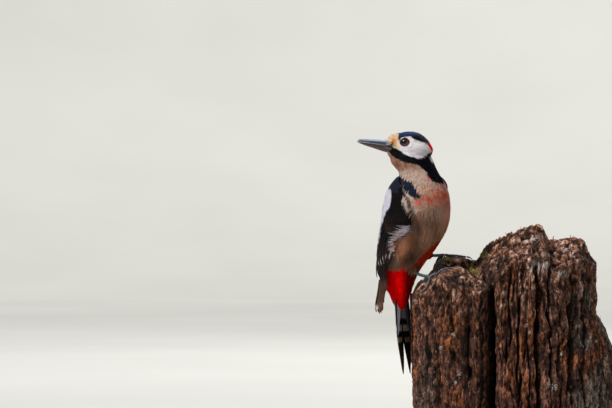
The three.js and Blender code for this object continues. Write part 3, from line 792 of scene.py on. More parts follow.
def markings(p):
    """The plumage's colour at points of the body and head, and how glossy it is."""
    x, y, z = p[:, 0], p[:, 1], p[:, 2]
    turn = turn_of(p)
    wide = np.abs(turn)
    fine = noise(p, (1.1, 1.1, 1.1), 3)
    streak = noise(p, (1.5, 1.5, 9), 5)
    patch = noise(p, (5, 5, 9), 7)
    long_patch = noise(p, (3, 3, 16), 11)
    strand = noise(p, (0.8, 0.8, 4), 12)

    # breast and belly
    base = filled(BUFF, len(p))
    base = over(base, CREAM, smooth((z - 217) / 11) * (0.75 + 0.3 * patch))
    base = over(
        base, PALE, smooth((z - 199) / 14) * edge(wide - 44 - 6 * patch, 16) * smooth((238 - z) / 8) * 0.8
    )
    base = over(base, BROWN, smooth((211 - z) / 16) * (0.72 + 0.4 * (streak - 0.3)))
    base = over(
        base, GREY_BROWN,
        smooth((216 - z) / 8) * smooth((z - 190) / 10) * edge(22 - wide, 26) * 0.7 * streak
    )
    base = over(base, WARM, edge(turn - 24, 18) * smooth((216 - z) / 10) * (0.35 + 0.6 * streak))
    base = over(base, WARM, edge(-50 - turn, 18) * smooth((196 - z) / 10) * (0.5 + 0.4 * streak))
    base = over(base, WARM, spot(x, z, -92, 203, 7, 9) * 0.7)
    base = over(base, DARK_BROWN, smooth((long_patch - 0.55) / 0.25) * smooth((205 - z) / 12) * 0.35)
    # A darker brown patch low on the near side of the belly, beside the thigh.
    dark_patch_by_thigh = smooth(1.3 - np.hypot((x + 87.5 - 0.2 * (z - 169)) / 6.5, (z - 167) / 8)) * edge(-29 - y, 8)
    base = over(base, DARK_BROWN, dark_patch_by_thigh * (0.5 + 0.5 * streak))
    base = over(base, GREY_BROWN, edge(-96 - x, 5) * smooth((172 - z) / 8) * 0.7)

    # throat, and the orange wash across the breast
    throat = smooth((z - 238) / 7)
    base = over(base, THROAT, throat * (0.75 + 0.25 * fine))
    thread = noise(stack(x + 0.8 * z, y, 0.25 * (z - 0.8 * x)), (0.9, 0.9, 1.3), 14)
    base = over(base, "c79f8b", throat * smooth((thread - 0.54) / 0.14) * 0.42)
    base = over(base, RUST, throat * smooth((strand - 0.45) / 0.2) * smooth((z - 240) / 5) * 0.6)
    base = over(base, "b98573", smooth((z - 240) / 8) * smooth((-96 - x) / 9) * (0.25 + 0.5 * strand))
    base = over(base, CREAM, spot(x, z, -73, 240.5, 8, 6) * 0.8)
    base = over(base, CREAM, spot(x, z, -86, 234, 9, 5) * 0.6)
    wash_middle = 217.5 + 0.08 * turn
    wash_half = 3.2 + 0.1 * np.maximum(0, turn + 20)
    wash = (
        np.exp(-(((z - wash_middle) / wash_half) ** 2)) * smooth((turn + 44) / 12)
        * smooth((95 - turn) / 20)
    )
    tips = noise(p, (2.2, 2.2, 0.9), 13) * 0.5 + strand * 0.5
    base = over(base, ORANGE, np.minimum(1, 1.5 * wash) * smooth((tips - 0.38) / 0.14) * 0.78)
    base = over(base, OCHRE, smooth(1 - np.abs(z - 225) / 6) * smooth(1 - np.abs(turn + 8) / 26) * 0.35)
    base = over(base, RED, spot(x, z, -72.6, 234, 2.6, 1.5, 1.2) * smooth((strand - 0.35) / 0.2) * 0.8)
    # Painted light and shade on the lower belly: brighter in patches at x -97 and -74 and towards the post
    # from x -68, and a little darker round x -80.
    low = smooth((212 - z) / 12)
    light = 1.35 * spot(x, z, -97, 179, 8, 15, 1.3) + 0.6 * smooth((x + 68) / 8)
    light = light + 0.7 * spot(x, z, -74, 182, 8, 13, 1.2)
    base = np.minimum(1, base * (1 + low * (light - 0.22 * smooth(1.2 - np.abs(x + 80) / 9)))[:, None])
    gloss = np.zeros(len(p))

    # the red of the belly and under the tail
    world = turn - facing(z)
    belly = np.abs((world + VENT_FACING + 180) % 360 - 180)
    red = edge(red_edge(belly) + 2 * (fine - 0.5) - z, 1.6)
    # Painted light and shade: the red is bright at the left and deepens to a shaded dark red towards the
    # post.
    crimson = over(
        filled(SHADED_RED, len(p)), RED, smooth((-88 - x) / 9) * (0.75 + 0.25 * streak) + 0.3 * strand
    )
    crimson = over(crimson, "a62a0e", smooth((z - 155) / 8) * (0.55 + 0.45 * strand))
    base = base * (1 - red[:, None]) + crimson * red[:, None]
    rim = red * smooth(1 - np.abs(belly - 6) / 14) * smooth(1 - np.abs(z - 162) / 14)
    base = over(base, "e0521c", rim * 0.85 * (0.4 + 0.6 * strand))
    fringe = red * smooth((x - vent_right(z) + 0.2) / 1.2) * smooth((154 - z) / 4) * smooth((z - 124) / 4)
    base = over(base, "c8632c", fringe * (0.3 + 0.6 * fine))
    leg = near_thigh(p) * smooth((z - 148) / 3)
    base = over(base, mix(BROWN, DARK_BROWN, 0.55), leg * 0.9)
    base = over(base, "7d6f66", leg * smooth((157 - z) / 3) * 0.5)

    # the black bar at the right breast, and the back
    bar = edge(bar_half(z) - np.abs(turn - bar_middle(z)) + 6 * (fine - 0.5), 3) * smooth((z - 215) / 3)
    bar = bar * smooth((240 - z) / 3)
    back = (
        edge(wide - np.where(z > 190, 104, np.where(z > 157, 112, 150)) + 5 * (fine - 0.5), 6)
        * smooth((249 - z) / 3)
    )
    strip = shoulder_white(p) * back
    dark = np.maximum(bar, back * (1 - strip))
    base = over(base, LAVENDER, strip)

    # the head
    up = edge(z - 247.5 + 0.25 * (x + 84), 3)
    forehead = smooth((-96.2 - x) / 1.5)
    # Painted shade: a dark curved line below and behind the eye, where the feathers fold.
    fold = np.hypot(x + 90.6, z - 265.6)
    fold_turn = np.degrees(np.arctan2(z - 265.6, x + 90.6))
    fold_shade = np.exp(-(((fold - 6.6) / 0.35) ** 2)) * smooth(1 - np.abs(fold_turn + 55) / 42)
    face = filled(WHITE, len(p))
    face = over(face, "cfc6c6", smooth((0.6 * noise(p, (5, 5, 1.3), 23) + 0.4 * fine - 0.5) / 0.2) * 0.5)
    face = over(face, "bdb6c2", smooth((262 - z) / 8) * smooth((x + 92) / 6) * 0.5)
    face = over(face, "6f666a", fold_shade * 0.6)
    face = over(face, "e6c79c", forehead * (0.5 + 0.6 * fine))
    face = over(face, "93603c", forehead * smooth((strand - 0.58) / 0.1) * 0.5)
    face = over(face, "d07f34", spot(x, z, -101.6, 265, 2.6, 3.2, 1.45) * (0.6 + 0.6 * fine))
    face = over(face, "5f3317", spot(x, z, -102.6, 263.4, 1.3, 2.4, 1.2) * 0.85)
    face = over(face, "2a2422", spot(x, z, -96.5, 267.6, 1.1, 3.0, 1.3) * 0.9)
    face = over(face, "2b2220", smooth((-101.6 - x) / 1.6) * smooth((260.4 - z) / 1.4) * 0.9)
    face = over(face, "7a5a45", spot(x, z, -102.2, 261.3, 3.2, 1.7, 1.25) * 0.6)
    below = edge(malar_low(x) + 0.8 * (fine - 0.5) - z, 0.9)
    head = face * (1 - below[:, None]) + base * below[:, None]
    base = base * (1 - up[:, None]) + head * up[:, None]
    cap = edge(z - crown_edge(x) + 0.5 * (fine - 0.5), 0.7) * edge(x + 97.6, 0.8)
    nape = edge(x - cheek_rear(z) + 0.6 * (fine - 0.5), 0.7) * edge(263.6 - z, 1) * edge(z - 256.4, 1)
    malar = (
        edge(cheek_low(x) - z + 0.5 * (fine - 0.5), 0.7) * edge(z - malar_low(x) + 0.8 * (fine - 0.5), 0.9)
    )
    malar = malar * edge(x + 105.6, 1.0) * edge(bar_rear(z) - x, 1.2) * edge(z - 229.5, 1.5)
    sliver = edge(x - bar_rear(z) + 0.2, 1.2) * edge(z - 243, 2) * edge(255.5 - z, 1.2)
    base = over(base, WHITE, sliver)
    dark = np.maximum(dark, np.maximum(cap, malar))
    dark = dark * (1 - nape)
    # Painted sheen: blue-black over the top of the crown and over the breast bar, navy streaks on the bar,
    # and paler blue on the crown's very top.
    sheen_amount = cap * smooth((z - 265.5) / 6) + bar * 0.8
    ink = over(filled(BLACK, len(p)), SHEEN_BLUE_BLACK, sheen_amount + 0.3 * (fine - 0.3))
    ink = over(ink, NAVY_SHEEN, bar * (0.3 + 0.7 * smooth((strand - 0.5) / 0.2)))
    ink = over(ink, CROWN_SHEEN_BLUE, cap * smooth((z - 268.5) / 4) * (0.6 + 0.5 * fine))
    base = base * (1 - dark[:, None]) + ink * dark[:, None]
    base = over(base, RED, nape)
    gloss = np.maximum(gloss, dark)
    return base, gloss


# ------------------------------------------------------------ skin

LEG_VOXEL = 0.32
CHIN_SWELL = 1.4
VENT_SWELL = 3.4
LID_WIDE = 1.06
LID_TALL = 0.86


def shank_radius(u, angle):
    scutes = 0.07 * np.sin(2 * np.pi * u * 11) * (np.cos(angle) > -0.3)
    return SHANK_RADIUS * (1 + 0.25 * (2 * u - 1) ** 4 + scutes)


def toe_path(rows):
    plan = np.array(rows, float)
    return np.column_stack([plan, top_height(plan[:, 0], plan[:, 1]) + TOE_RADIUS])


def toe_radius(u, angle):
    pads = 0.09 * np.sin(2 * np.pi * u * 6)
    return TOE_RADIUS * (1 - 0.25 * u + pads)


def leg_parts(leg):
    parts = [tube(leg["shank"], shank_radius, 60, 18)]
    ball = np.array(leg["shank"][-1])
    parts += [tube(toe_path(rows), toe_radius, 48, 16) for rows in leg["toes"]]
    for rows in leg["toes"]:
        start = toe_path(rows)[0]
        parts.append(
            tube(
                [ball, mix(ball, start, 0.5) + (0, 0, 0.2), start + (0, 0, 0.05)], lambda u, a: 1.2 + 0 * u,
                14, 12
            )
        )
    return parts


body_skin = remeshed(
    "body_skin",
    [
        body_form(DEPTH["body"]),
        head_form(DEPTH["head"]),
        wing_form(-1, DEPTH["wing"]),
        wing_form(1, DEPTH["wing"]),
        *(thigh_form(leg, DEPTH["thigh"]) for leg in LEGS.values()),
    ],
    0.9,
    6,
)
leg_skins = [remeshed("leg_skin", leg_parts(leg), LEG_VOXEL, 2) for leg in LEGS.values()]


def fuller(p):
    """Fills out the feathers of the chin and throat, and those under the tail."""
    x, z = p[:, 0], p[:, 2]
    chin = smooth((-88 - x) / 12) * smooth((258 - z) / 6) * smooth((z - 234) / 12)
    vent = smooth((-92 - x) / 12) * smooth((z - 134) / 10) * smooth((168 - z) / 9)
    return p + CHIN_SWELL * chin[:, None] * unit(np.array([-0.8, 0, -0.6])) + stack(-VENT_SWELL * vent, 0, 0)


def bill_recess(p):
    """Draws the skin in behind the bill's sides, so that the face's feathers end where the bill comes out."""
    x, z = p[:, 0], p[:, 2]
    limit = 0.7 * bill_width(x)
    off = p[:, 1] - HEAD[1]
    inside = smooth((face_front(z) + 0.6 - x) / 1.3) * smooth((z - 255.2) / 1.2) * smooth((267.4 - z) / 1.2)
    shrink = np.minimum(1, limit / np.maximum(0.1, np.abs(off)))
    out = p.copy()
    out[:, 1] = HEAD[1] + off * mix(1, shrink, inside)
    return out


def lid_form(side):
    """A ring of bare skin round the eye, with a finely beaded edge."""
    middle = eye_centre(side)
    axis = eye_axis(side)
    first = unit(np.cross(axis, (0, 0, 1)))
    second = np.cross(axis, first)
    turns, sides = 72, 10
    around, section = (
        g.ravel()
        for g in np.meshgrid(
            2 * np.pi * np.arange(turns) / turns, 2 * np.pi * np.arange(sides) / sides, indexing="ij"
        )
    )
    bead = 1 + 0.1 * np.sin(around * 26)
    ring = 3.62 + 0.52 * bead * np.cos(section)
    rise = EYE["radius"] * 0.66 + 0.5 * bead * np.sin(section)
    p = (
        middle
        + axis * rise[:, None]
        + first * (ring * np.cos(around) * LID_WIDE)[:, None]
        + second * (ring * np.sin(around) * LID_TALL)[:, None]
    )
    i, j = np.meshgrid(np.arange(turns), np.arange(sides), indexing="ij")
    a, b = i * sides + j, i * sides + (j + 1) % sides
    c, d = (i + 1) % turns * sides + (j + 1) % sides, (i + 1) % turns * sides + j
    return p, facing_out(p, [np.stack([a, b, c, d], -1).reshape(-1, 4)])


def eye_centre(side):
    return HEAD + stack(-EYE["along"], side * EYE["out"], EYE["up"])


def eye_axis(side):
    return unit(stack(-0.18, side, 0.1))


body_skin = (bill_recess(fuller(body_skin[0])), body_skin[1])
lids = [lid_form(side) for side in (-1, 1)]
skin_points, skin_groups = joined([body_skin, *leg_skins, *lids])
skin = new_object("skin", skin_points, skin_groups)
skin_tint, skin_gloss = markings(skin_points)
paint(skin, skin_tint * 0.85, skin_gloss)
plumage = plumage_material("plumage", False)
put(skin, plumage)
skin.data.materials.append(leg_material())
lid_look = plain_material("eyelid_skin", 0.5, (2.4, 4.0), [(0.3, "08080a"), (0.7, "1b191c")], 0.5, 0.1, 0.6)
skin.data.materials.append(lid_look)
face_kind = np.zeros(sum(len(g) for g in skin_groups), np.int32)
body_faces = len(body_skin[1][0])
leg_faces = sum(len(s[1][0]) for s in leg_skins)
face_kind[body_faces:] = 1
face_kind[body_faces + leg_faces :] = 2
skin.data.polygons.foreach_set("material_index", face_kind)
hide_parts("head", "neck", "trunk", "thigh_right", "thigh_left", "shank_right", "shank_left")
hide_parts(*[f"toe_{side}_{i}" for side in LEGS for i in (1, 2, 3, 4)])

# ------------------------------------------------------------ the lie of the coat

rng = np.random.default_rng(20)
body_points, (body_quads,) = body_skin
tree = BVHTree.FromPolygons(body_points.tolist(), body_quads.tolist())
BILL_BASE = np.array([-104.0, -29, 261.5])
FLOW_DOWN = (252, 22)  # where the flow from the bill turns into the flow down the body, and over what height


def spine_direction(z):
    step = 2.0
    return unit(
        stack(centre_x(z - step) - centre_x(z + step), centre_y(z - step) - centre_y(z + step), -2 * step)
    )


def flow(p, normal):
    """The direction that feathers lie in: away from the bill over the head, then down the body."""
    away = unit(p - BILL_BASE)
    down = spine_direction(p[:, 2])
    top, height = FLOW_DOWN
    t = smooth((top - p[:, 2]) / height)
    rear = 0.9 * smooth((p[:, 0] + 86) / 16)
    d = away * (1 - t)[:, None] + down * (t + rear * (1 - t))[:, None]
    for side in (-1, 1):
        r = p - eye_centre(side)
        r = r - dot(r, eye_axis(side)) * eye_axis(side)
        far = np.linalg.norm(r, axis=1, keepdims=True)
        same = (side * (p[:, 1:2] - HEAD[1]) > 3) & (far < 9)
        out = unit(r)
        inward = np.minimum(0, dot(d, out))
        d = np.where(same, d - inward * out * (1 - smooth((far - 4.6) / 4)) * 1.05, d)
    d = d - dot(d, normal) * normal
    return unit(d)


def nearest(p):
    """The nearest places on the skin, and their normals."""
    places, normals = np.zeros_like(p), np.zeros_like(p)
    for i, q in enumerate(p):
        place, normal, _, _ = tree.find_nearest(Vector(q))
        places[i] = place
        normals[i] = normal
    return places, normals


def scattered(spacing, region):
    """Roots over the skin where region(points) holds, about spacing(points) apart, and their normals."""
    corners = body_points[body_quads]
    corners = corners[region(corners.mean(1))]
    sides = np.cross(corners[:, 2] - corners[:, 0], corners[:, 3] - corners[:, 1])
    share = np.linalg.norm(sides, axis=1) / 2 / spacing(corners.mean(1)) ** 2
    count = int(share.sum() * 7)
    chosen = rng.choice(len(corners), count, p=share / share.sum())
    s, t = rng.random((2, count, 1))
    c = corners[chosen]
    p = c[:, 0] * (1 - s) * (1 - t) + c[:, 1] * s * (1 - t) + c[:, 2] * s * t + c[:, 3] * (1 - s) * t
    radius = spacing(p)
    cells = np.floor(p / radius.max()).astype(int).tolist()
    near = [(i, j, k) for i in (-1, 0, 1) for j in (-1, 0, 1) for k in (-1, 0, 1)]
    grid, kept = {}, []
    for index, (a, b, c) in enumerate(cells):
        q, limit = p[index], radius[index] ** 2
        others = (p[other] for i, j, k in near for other in grid.get((a + i, b + j, c + k), ()))
        if all((o[0] - q[0]) ** 2 + (o[1] - q[1]) ** 2 + (o[2] - q[2]) ** 2 >= limit for o in others):
            grid.setdefault((a, b, c), []).append(index)
            kept.append(index)
    return p[kept], unit(sides[chosen])[kept]


STATIONS = np.array([0.0, 0.4, 0.75, 1.0])  # where along a blade its points lie
ROOT_HEIGHT = -0.35  # how far above the skin a blade starts
PATCH = 0.003  # the size of one blade on the map


def laid(roots, normals, length, tip_height, jitter=0.12):
    """Lines of points that run over the skin from roots, with their normals."""
    d = flow(roots, normals)
    d = unit(d + np.cross(normals, d) * rng.normal(0, jitter, (len(roots), 1)))
    p, n = roots, normals
    line, ups = [], []
    for i, s in enumerate(STATIONS):
        if i:
            q, n = nearest(p + d * (length * (s - STATIONS[i - 1]))[:, None])
            ahead = q - p
            ahead = unit(ahead - dot(ahead, n) * n)
            d = unit(mix(ahead, flow(q, n), 0.5))
            p = q
        line.append(p + n * (ROOT_HEIGHT + (tip_height - ROOT_HEIGHT) * s**0.8)[:, None])
        ups.append(n)
    return np.stack(line, 1), np.stack(ups, 1)


def sections(line, ups, half, thick):
    """Three points round each of the first stations and one at the tip, for each blade."""
    ahead = np.gradient(line, axis=1)
    side = unit(np.cross(ups, ahead))
    up = unit(np.cross(ahead, side))
    k = line.shape[1] - 1
    left = line[:, :k] - side[:, :k] * half[:, :k, None]
    right = line[:, :k] + side[:, :k] * half[:, :k, None]
    top = line[:, :k] + up[:, :k] * thick[:, :k, None]
    rings = np.stack([left, top, right], 2).reshape(len(line), 3 * k, 3)
    return np.concatenate([rings, line[:, k:]], 1)


def blade_faces(count):
    """Triangles of blades of three rings of three points and a tip."""
    one = []
    for i in (0, 3):
        for j in range(3):
            a, b = i + j, i + (j + 1) % 3
            one += [(a, b, b + 3), (a, b + 3, a + 3)]
    one += [(6 + j, 6 + (j + 1) % 3, 9) for j in range(3)]
    one = np.array([*one, (0, 2, 1)])
    return (one[None] + (np.arange(count) * 10)[:, None, None]).reshape(-1, 3)


def skin_map(p):
    """Where points lie on an unwrap of the body: round the spine, and along it from bill to tail."""
    z = p[:, 2]
    on_head = smooth((z - 240) / 14)
    axis = mix(stack(centre_x(z), centre_y(z), z), filled(HEAD, len(p)), on_head[:, None])
    away = p - axis
    turn = np.arctan2(away[:, 1], away[:, 0])
    v = np.clip((z - 110) / 170, 0, 1)
    return np.stack([0.02 + 0.96 * (turn / (2 * np.pi) + 0.5), 0.02 + 0.96 * v], 1)


def coat(name, roots, normals, length, width, rise, barbs=(0, -1, 1), thick=0.07, slot="plumage_buff", **lie):
    """Tufts of closed, thin blades over the skin. Lengths and widths are arrays in mm."""
    count = len(roots)
    line, ups = laid(roots, normals, length, rise, **lie)
    tint, gloss = markings(line[:, 1] * 0.5 + line[:, 2] * 0.5)
    points, tints = [], []
    side = unit(np.cross(ups, np.gradient(line, axis=1)))
    for barb in barbs:
        reach = barb * 0.8 * width[:, None] * np.array([0.3, 0.75, 1.05, 1.25])
        bent = line + side * reach[:, :, None]
        pull = (0.06 + 0.1 * rng.random(count)) * abs(barb)
        bent[:, 3] = mix(bent[:, 3], bent[:, 2], pull[:, None])
        bent = bent + ups * (0.04 * rng.normal(size=(count, 1, 1)))
        half = 0.5 * width[:, None] * np.array([0.6, 1.0, 0.72, 0.0]) * (0.85 + 0.3 * rng.random((count, 1)))
        points.append(sections(bent, ups, half, thick + 0.1 * half).reshape(-1, 3))
        light = 1 + rng.normal(0, 0.05, (count, 1, 1))
        along = np.array([0.86] * 3 + [0.97] * 3 + [1.03] * 3 + [1.06])
        tints.append((tint[:, None] * light * along[None, :, None]).reshape(-1, 3))
    points = np.concatenate(points)
    obj = new_object(name, points, [blade_faces(count * len(barbs))], False)
    paint(obj, np.concatenate(tints), np.tile(np.repeat(np.clip(gloss, 0, 1), 10), len(barbs)))
    across = np.array([-0.5, 0, 0.5] * 3 + [0.0])
    up = np.array([-0.5] * 3 + [0] * 3 + [0.3] * 3 + [0.5])
    place = skin_map(roots)[:, None] + PATCH * np.stack([across, up], 1)[None]
    unwrap(obj, np.tile(place.reshape(-1, 2), (len(barbs), 1)))
    return put(obj, plumage)


def beside_eye(p):
    """How far points lie from the middle of the nearer bare ring, across its axis.

    The ring is a little behind the eye.
    """
    side = np.where(p[:, 1] < HEAD[1], -1, 1)
    r = p - HEAD - stack(-3, side * EYE["out"], 3)
    axis = unit(stack(-0.16, side, 0.06))
    return np.linalg.norm(r - dot(r, axis) * axis, axis=1)


def in_bill(p):
    """Points of the skin that are drawn in behind the bill."""
    return (p[:, 0] < face_front(p[:, 2]) + 0.3) & (p[:, 2] > 255.8) & (p[:, 2] < 266.9)


def wing_cover(p, margin):
    """Points of the body that a folded wing hides."""
    z = p[:, 2]
    turn = turn_of(p)
    covered = np.zeros(len(p), bool)
    for side in (-1, 1):
        middle = side * (wing_angle(z) + (left_wing_back(z) if side > 0 else 0))
        off = (turn - middle + 180) % 360 - 180
        half = np.degrees(wing_half(z) / np.maximum(12, wing_distance(z))) - margin
        covered |= (np.abs(off) < half) & (z < 234) & (z > 150)
    return covered


# Heights where one part of the coat ends and the next starts, and the angle where the back starts.
HEAD_FLOOR, NECK_FLOOR, BREAST_FLOOR, VENT_TOP = 247, 232, 200, 168
BACK_TURN = 118


def on_head(p):
    return (p[:, 2] > HEAD_FLOOR) & (beside_eye(p) > 3.7) & ~in_bill(p)


def between(p, low, high):
    return (p[:, 2] > low) & (p[:, 2] <= high)


def open_front(p):
    """The front of the body, from a little under the wings' edges."""
    return ~wing_cover(p, 8) & (np.abs(turn_of(p)) < BACK_TURN)


def open_back(p):
    return ~wing_cover(p, 10) & (np.abs(turn_of(p)) >= BACK_TURN)


def face_size(p):
    """From 0 at the bill's base to 1 at the back of the head."""
    return smooth((np.linalg.norm(p - BILL_BASE, axis=1) - 5) / 22)


for label, sign in (("near", -1), ("far", 1)):
    roots, normals = scattered(
        lambda p: mix(0.62, 0.95, face_size(p)), lambda p: on_head(p) & (sign * (p[:, 1] - HEAD[1]) >= 0)
    )
    size = face_size(roots)
    close = smooth((beside_eye(roots) - 3.6) / 3)
    coat(
        f"coat_head_{label}", roots, normals, mix(2.0, 4.2, size) * mix(0.5, 1, close), mix(0.5, 0.85, size),
        mix(0.3, 0.75, size), barbs=(0,), thick=0.06, jitter=0.07, slot="plumage_pale",
    )


def on_chin(p):
    """The chin, whose small feathers lie over those of the head and neck."""
    return (p[:, 0] < -96) & (p[:, 2] < 256.6) & (p[:, 2] > 244) & (np.abs(p[:, 1] - HEAD[1]) < 7)


pale_slot, black_slot = {"slot": "plumage_pale"}, {"slot": "plumage_black"}
for name, spacing, region, length, width, rise, more in (
    ("coat_chin", 0.85, on_chin, (3.2, 4.8), 0.42, (0.5, 1.0), {"jitter": 0.14, **pale_slot}),
    ("coat_neck", 1.05, lambda p: between(p, NECK_FLOOR, HEAD_FLOOR), (5, 6.8), 0.6, (0.5, 0.95), pale_slot),
    (
        "coat_breast", 1.25, lambda p: between(p, BREAST_FLOOR, NECK_FLOOR) & open_front(p), (6.5, 9), 0.62,
        (0.6, 1.0), {}
    ),
    (
        "coat_belly", 1.3, lambda p: between(p, VENT_TOP, BREAST_FLOOR) & open_front(p), (7.5, 10.5), 0.62,
        (0.65, 1.1), {}
    ),
    (
        "coat_back", 1.9, lambda p: between(p, VENT_TOP, NECK_FLOOR) & open_back(p), (7, 9), 1.0,
        (0.9, 1.4), black_slot
    ),
    ("coat_vent", 1.35, lambda p: p[:, 2] <= VENT_TOP, (7, 10), 0.6, (0.8, 1.4), {}),
):
    roots, normals = scattered(lambda p: spacing + 0 * p[:, 0], region)
    count = len(roots)
    coat(
        name, roots, normals, rng.uniform(*length, count), np.full(count, width), rng.uniform(*rise, count),
        **more
    )

# ------------------------------------------------------------ wing and tail feathers


def vane(centre, side, normal, half, thick=0.22, columns=7, camber=0.12):
    """A feather's closed blade from rows of centres, side directions, normals and two half widths."""
    c = np.linspace(-1, 1, columns)
    reach = np.where(c < 0, half[:, :1], half[:, 1:]) * c
    high = camber * half.sum(1, keepdims=True) * (1 - c**2) + 0.16 * np.exp(-((c / 0.09) ** 2))
    upper = centre[:, None] + side[:, None] * reach[:, :, None] + normal[:, None] * high[:, :, None]
    flat = np.minimum(thick, 0.02 + 0.5 * half.sum(1))[:, None, None]
    lower = upper - normal[:, None] * flat
    rings = np.concatenate([upper, lower[:, ::-1]], 1)
    rows, ring = rings.shape[:2]
    points = rings.reshape(-1, 3)
    sides = ring_faces(rows, ring)
    j = np.arange(columns - 1)
    cap = np.stack([j, j + 1, ring - 2 - j, ring - 1 - j], 1)
    last = (rows - 1) * ring + cap
    groups = facing_out(points, [np.concatenate([sides, cap[:, ::-1], last])])
    u = np.tile(np.concatenate([0.25 + 0.22 * c, 0.75 + 0.22 * c[::-1]]), rows)
    v = np.repeat(np.linspace(0, 1, rows), ring)
    across = np.tile(np.concatenate([c, c[::-1]]), rows)
    return points, groups, np.stack([u, v], 1), across


def vanes(name, feathers, replaced=()):
    """One piece of many feathers. Each is (vane, colours, gloss, length)."""
    points, groups = joined([(f[0][0], f[0][1]) for f in feathers])
    obj = new_object(name, points, groups)
    paint(obj, np.concatenate([f[1] for f in feathers]), np.concatenate([f[2] for f in feathers]))
    grid = math.ceil(math.sqrt(len(feathers)))
    atlas, barbs = [], []
    for i, f in enumerate(feathers):
        uv = f[0][2]
        cell = np.array([i % grid, i // grid])
        atlas.append((cell + 0.04 + 0.92 * uv) / grid)
        barbs.append(np.stack([uv[:, 0], uv[:, 1] * f[3] / 0.9 + np.abs(f[0][3]) * -1.6], 1))
    unwrap(obj, np.concatenate(atlas))
    unwrap(obj, np.concatenate(barbs), "Vane")
    put(obj, vane_plumage)
    if replaced:
        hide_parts(*replaced)
    return obj


vane_plumage = plumage_material("plumage_vanes", True)
ROUND_TIP = [(0, 0.3), (0.12, 0.75), (0.35, 0.97), (0.62, 1), (0.82, 0.86), (0.94, 0.52), (1, 0.05)]
LONG_TIP = [(0, 0.5), (0.1, 0.9), (0.5, 1), (0.8, 0.92), (0.92, 0.66), (0.97, 0.4), (1, 0.06)]
POINT_TIP = [(0, 0.6), (0.1, 0.95), (0.45, 1), (0.68, 0.86), (0.84, 0.55), (0.94, 0.28), (1, 0.04)]
round_tip, long_tip, point_tip = (through(rows) for rows in (ROUND_TIP, LONG_TIP, POINT_TIP))


def across_at(z, x, out=1.0):
    """How far across the near wing a point lies that the camera sees at (x, z)."""
    places = np.linspace(-1.7, 1, 80)
    seen = wing_point(-1, np.full(80, float(z)), places, out + wing_thick(z))[:, 0]
    last = int(np.argmin(seen)) + 1
    return float(np.interp(-x, -seen[:last], places[:last]))


def wing_feather(side, path, half, out, profile, tint, rows=14, lift=0.5, columns=7, hang=None):
    """A feather on a folded wing along a path of (height, across), `out` above the wing's surface.

    Below the wing's tip it follows `hang`, which gives X at a height.
    """
    s = np.linspace(0, 1, rows)
    z = mix(path[0][0], path[-1][0], s)
    across = through(path)(z)
    raised = out + 0.7 * wing_thick(z) + lift * s
    centre = wing_point(side, z, across, raised)
    step = 1 / wing_half(z)
    left = wing_point(side, z, across - step, raised)
    right = wing_point(side, z, across + step, raised)
    if hang:
        drift = stack((hang(z) - centre[:, 0]) * smooth((HANG_TOP - z) / 9), 0, 0)
        centre, left, right = centre + drift, left + drift, right + drift
    ahead = unit(np.gradient(centre, axis=0))
    wide = right - left
    wide = unit(wide - dot(wide, ahead) * ahead)
    normal = unit(np.cross(ahead, wide))
    outward = dot(normal, centre - stack(centre_x(z), centre_y(z), z))
    normal = normal * np.sign(outward.sum())
    room = np.maximum(np.maximum(0.2, (1.02 - across) / step), 3.0 * smooth((HANG_TOP - z) / 9))
    halves = np.stack([half * profile(s), np.minimum(half * profile(s), room)], 1)
    made = vane(centre, wide, normal, halves, columns=columns)
    colours, gloss = tint(made[2][:, 1], made[3], made[0])
    if side < 0:
        white = shoulder_white(made[0])[:, None]
        rest = BLACK if tint is white_tint else colours
        colours = rest * (1 - white) + white_tint(made[2][:, 1], made[3], made[0])[0] * white
    length = np.linalg.norm(np.diff(centre, axis=0), axis=1).sum()
    return made, colours, gloss, length


def coloured(base, amount, brown):
    """A plain feather colour with a paler rim."""

    def tint(along, across, points):
        value = noise(points, 2.2, 31)
        rgb = np.tile(base, (len(points), 1)) * (0.82 + 0.3 * value)[:, None]
        rgb = over(rgb, "3a271e", brown * smooth((along - 0.4) / 0.6) * (0.4 + value))
        rim = smooth((np.abs(across) - 0.7) / 0.3) * amount
        rgb = over(rgb, "5c5350", rim)
        return rgb, np.full(len(points), 0.7 if base is BLACK or base is SHEEN_BLUE_BLACK else 0.1)

    return tint


def spotted(every, first, size, band):
    """A black flight feather with white spots along its edges, between the heights of a band, if any."""

    def tint(along, across, points):
        rgb, gloss = coloured(BLACK, 0.06, 0.4)(along, across, points)
        phase = np.abs((along - first) / every - np.round((along - first) / every))
        white = smooth((size - phase) / 0.1) * smooth((np.abs(across) - 0.7) / 0.1)
        white = white * smooth((along - first + 0.03) / 0.03) * smooth((0.97 - along) / 0.04)
        if band:
            white = white * smooth((points[:, 2] - band[0]) / 2) * smooth((band[1] - points[:, 2]) / 2)
        return over(rgb, "d3c6c2", white * 0.8), gloss * (1 - 0.6 * white)

    return tint


strip_edge = through([(z, across_at(z, x)) for z, x in WHITE_STRIP])
# Lines that the long feathers follow in the picture: height, and X of the outermost and innermost feather.
PRIMARY_LINES = [
    (196, -111, -104), (170, None, -108.4), (155, None, -110.4), (142, -112.2, -108.4),
    (132, -113.8, -109.6),
]
PRIMARY_TIPS = [
    (119.6, -115.9), (121.6, -114.7), (118.4, -113.4), (119, -112.1), (121, -110.9), (128, -109.8),
    (137, -108.6),
]
HANG_TOP = 154
SECONDARY_LINES = [(204, -105, -92), (186, None, -98.6), (172, None, -103.6)]
SECONDARY_TIPS = [
    (149, None), (151, -113.8), (153.4, -112.2), (155.6, -110.8), (158, -109.2), (160.4, -107.4),
    (164, -105.6),
]
OUTERMOST = 0.86  # how far across a feather lies that makes the wing's outline


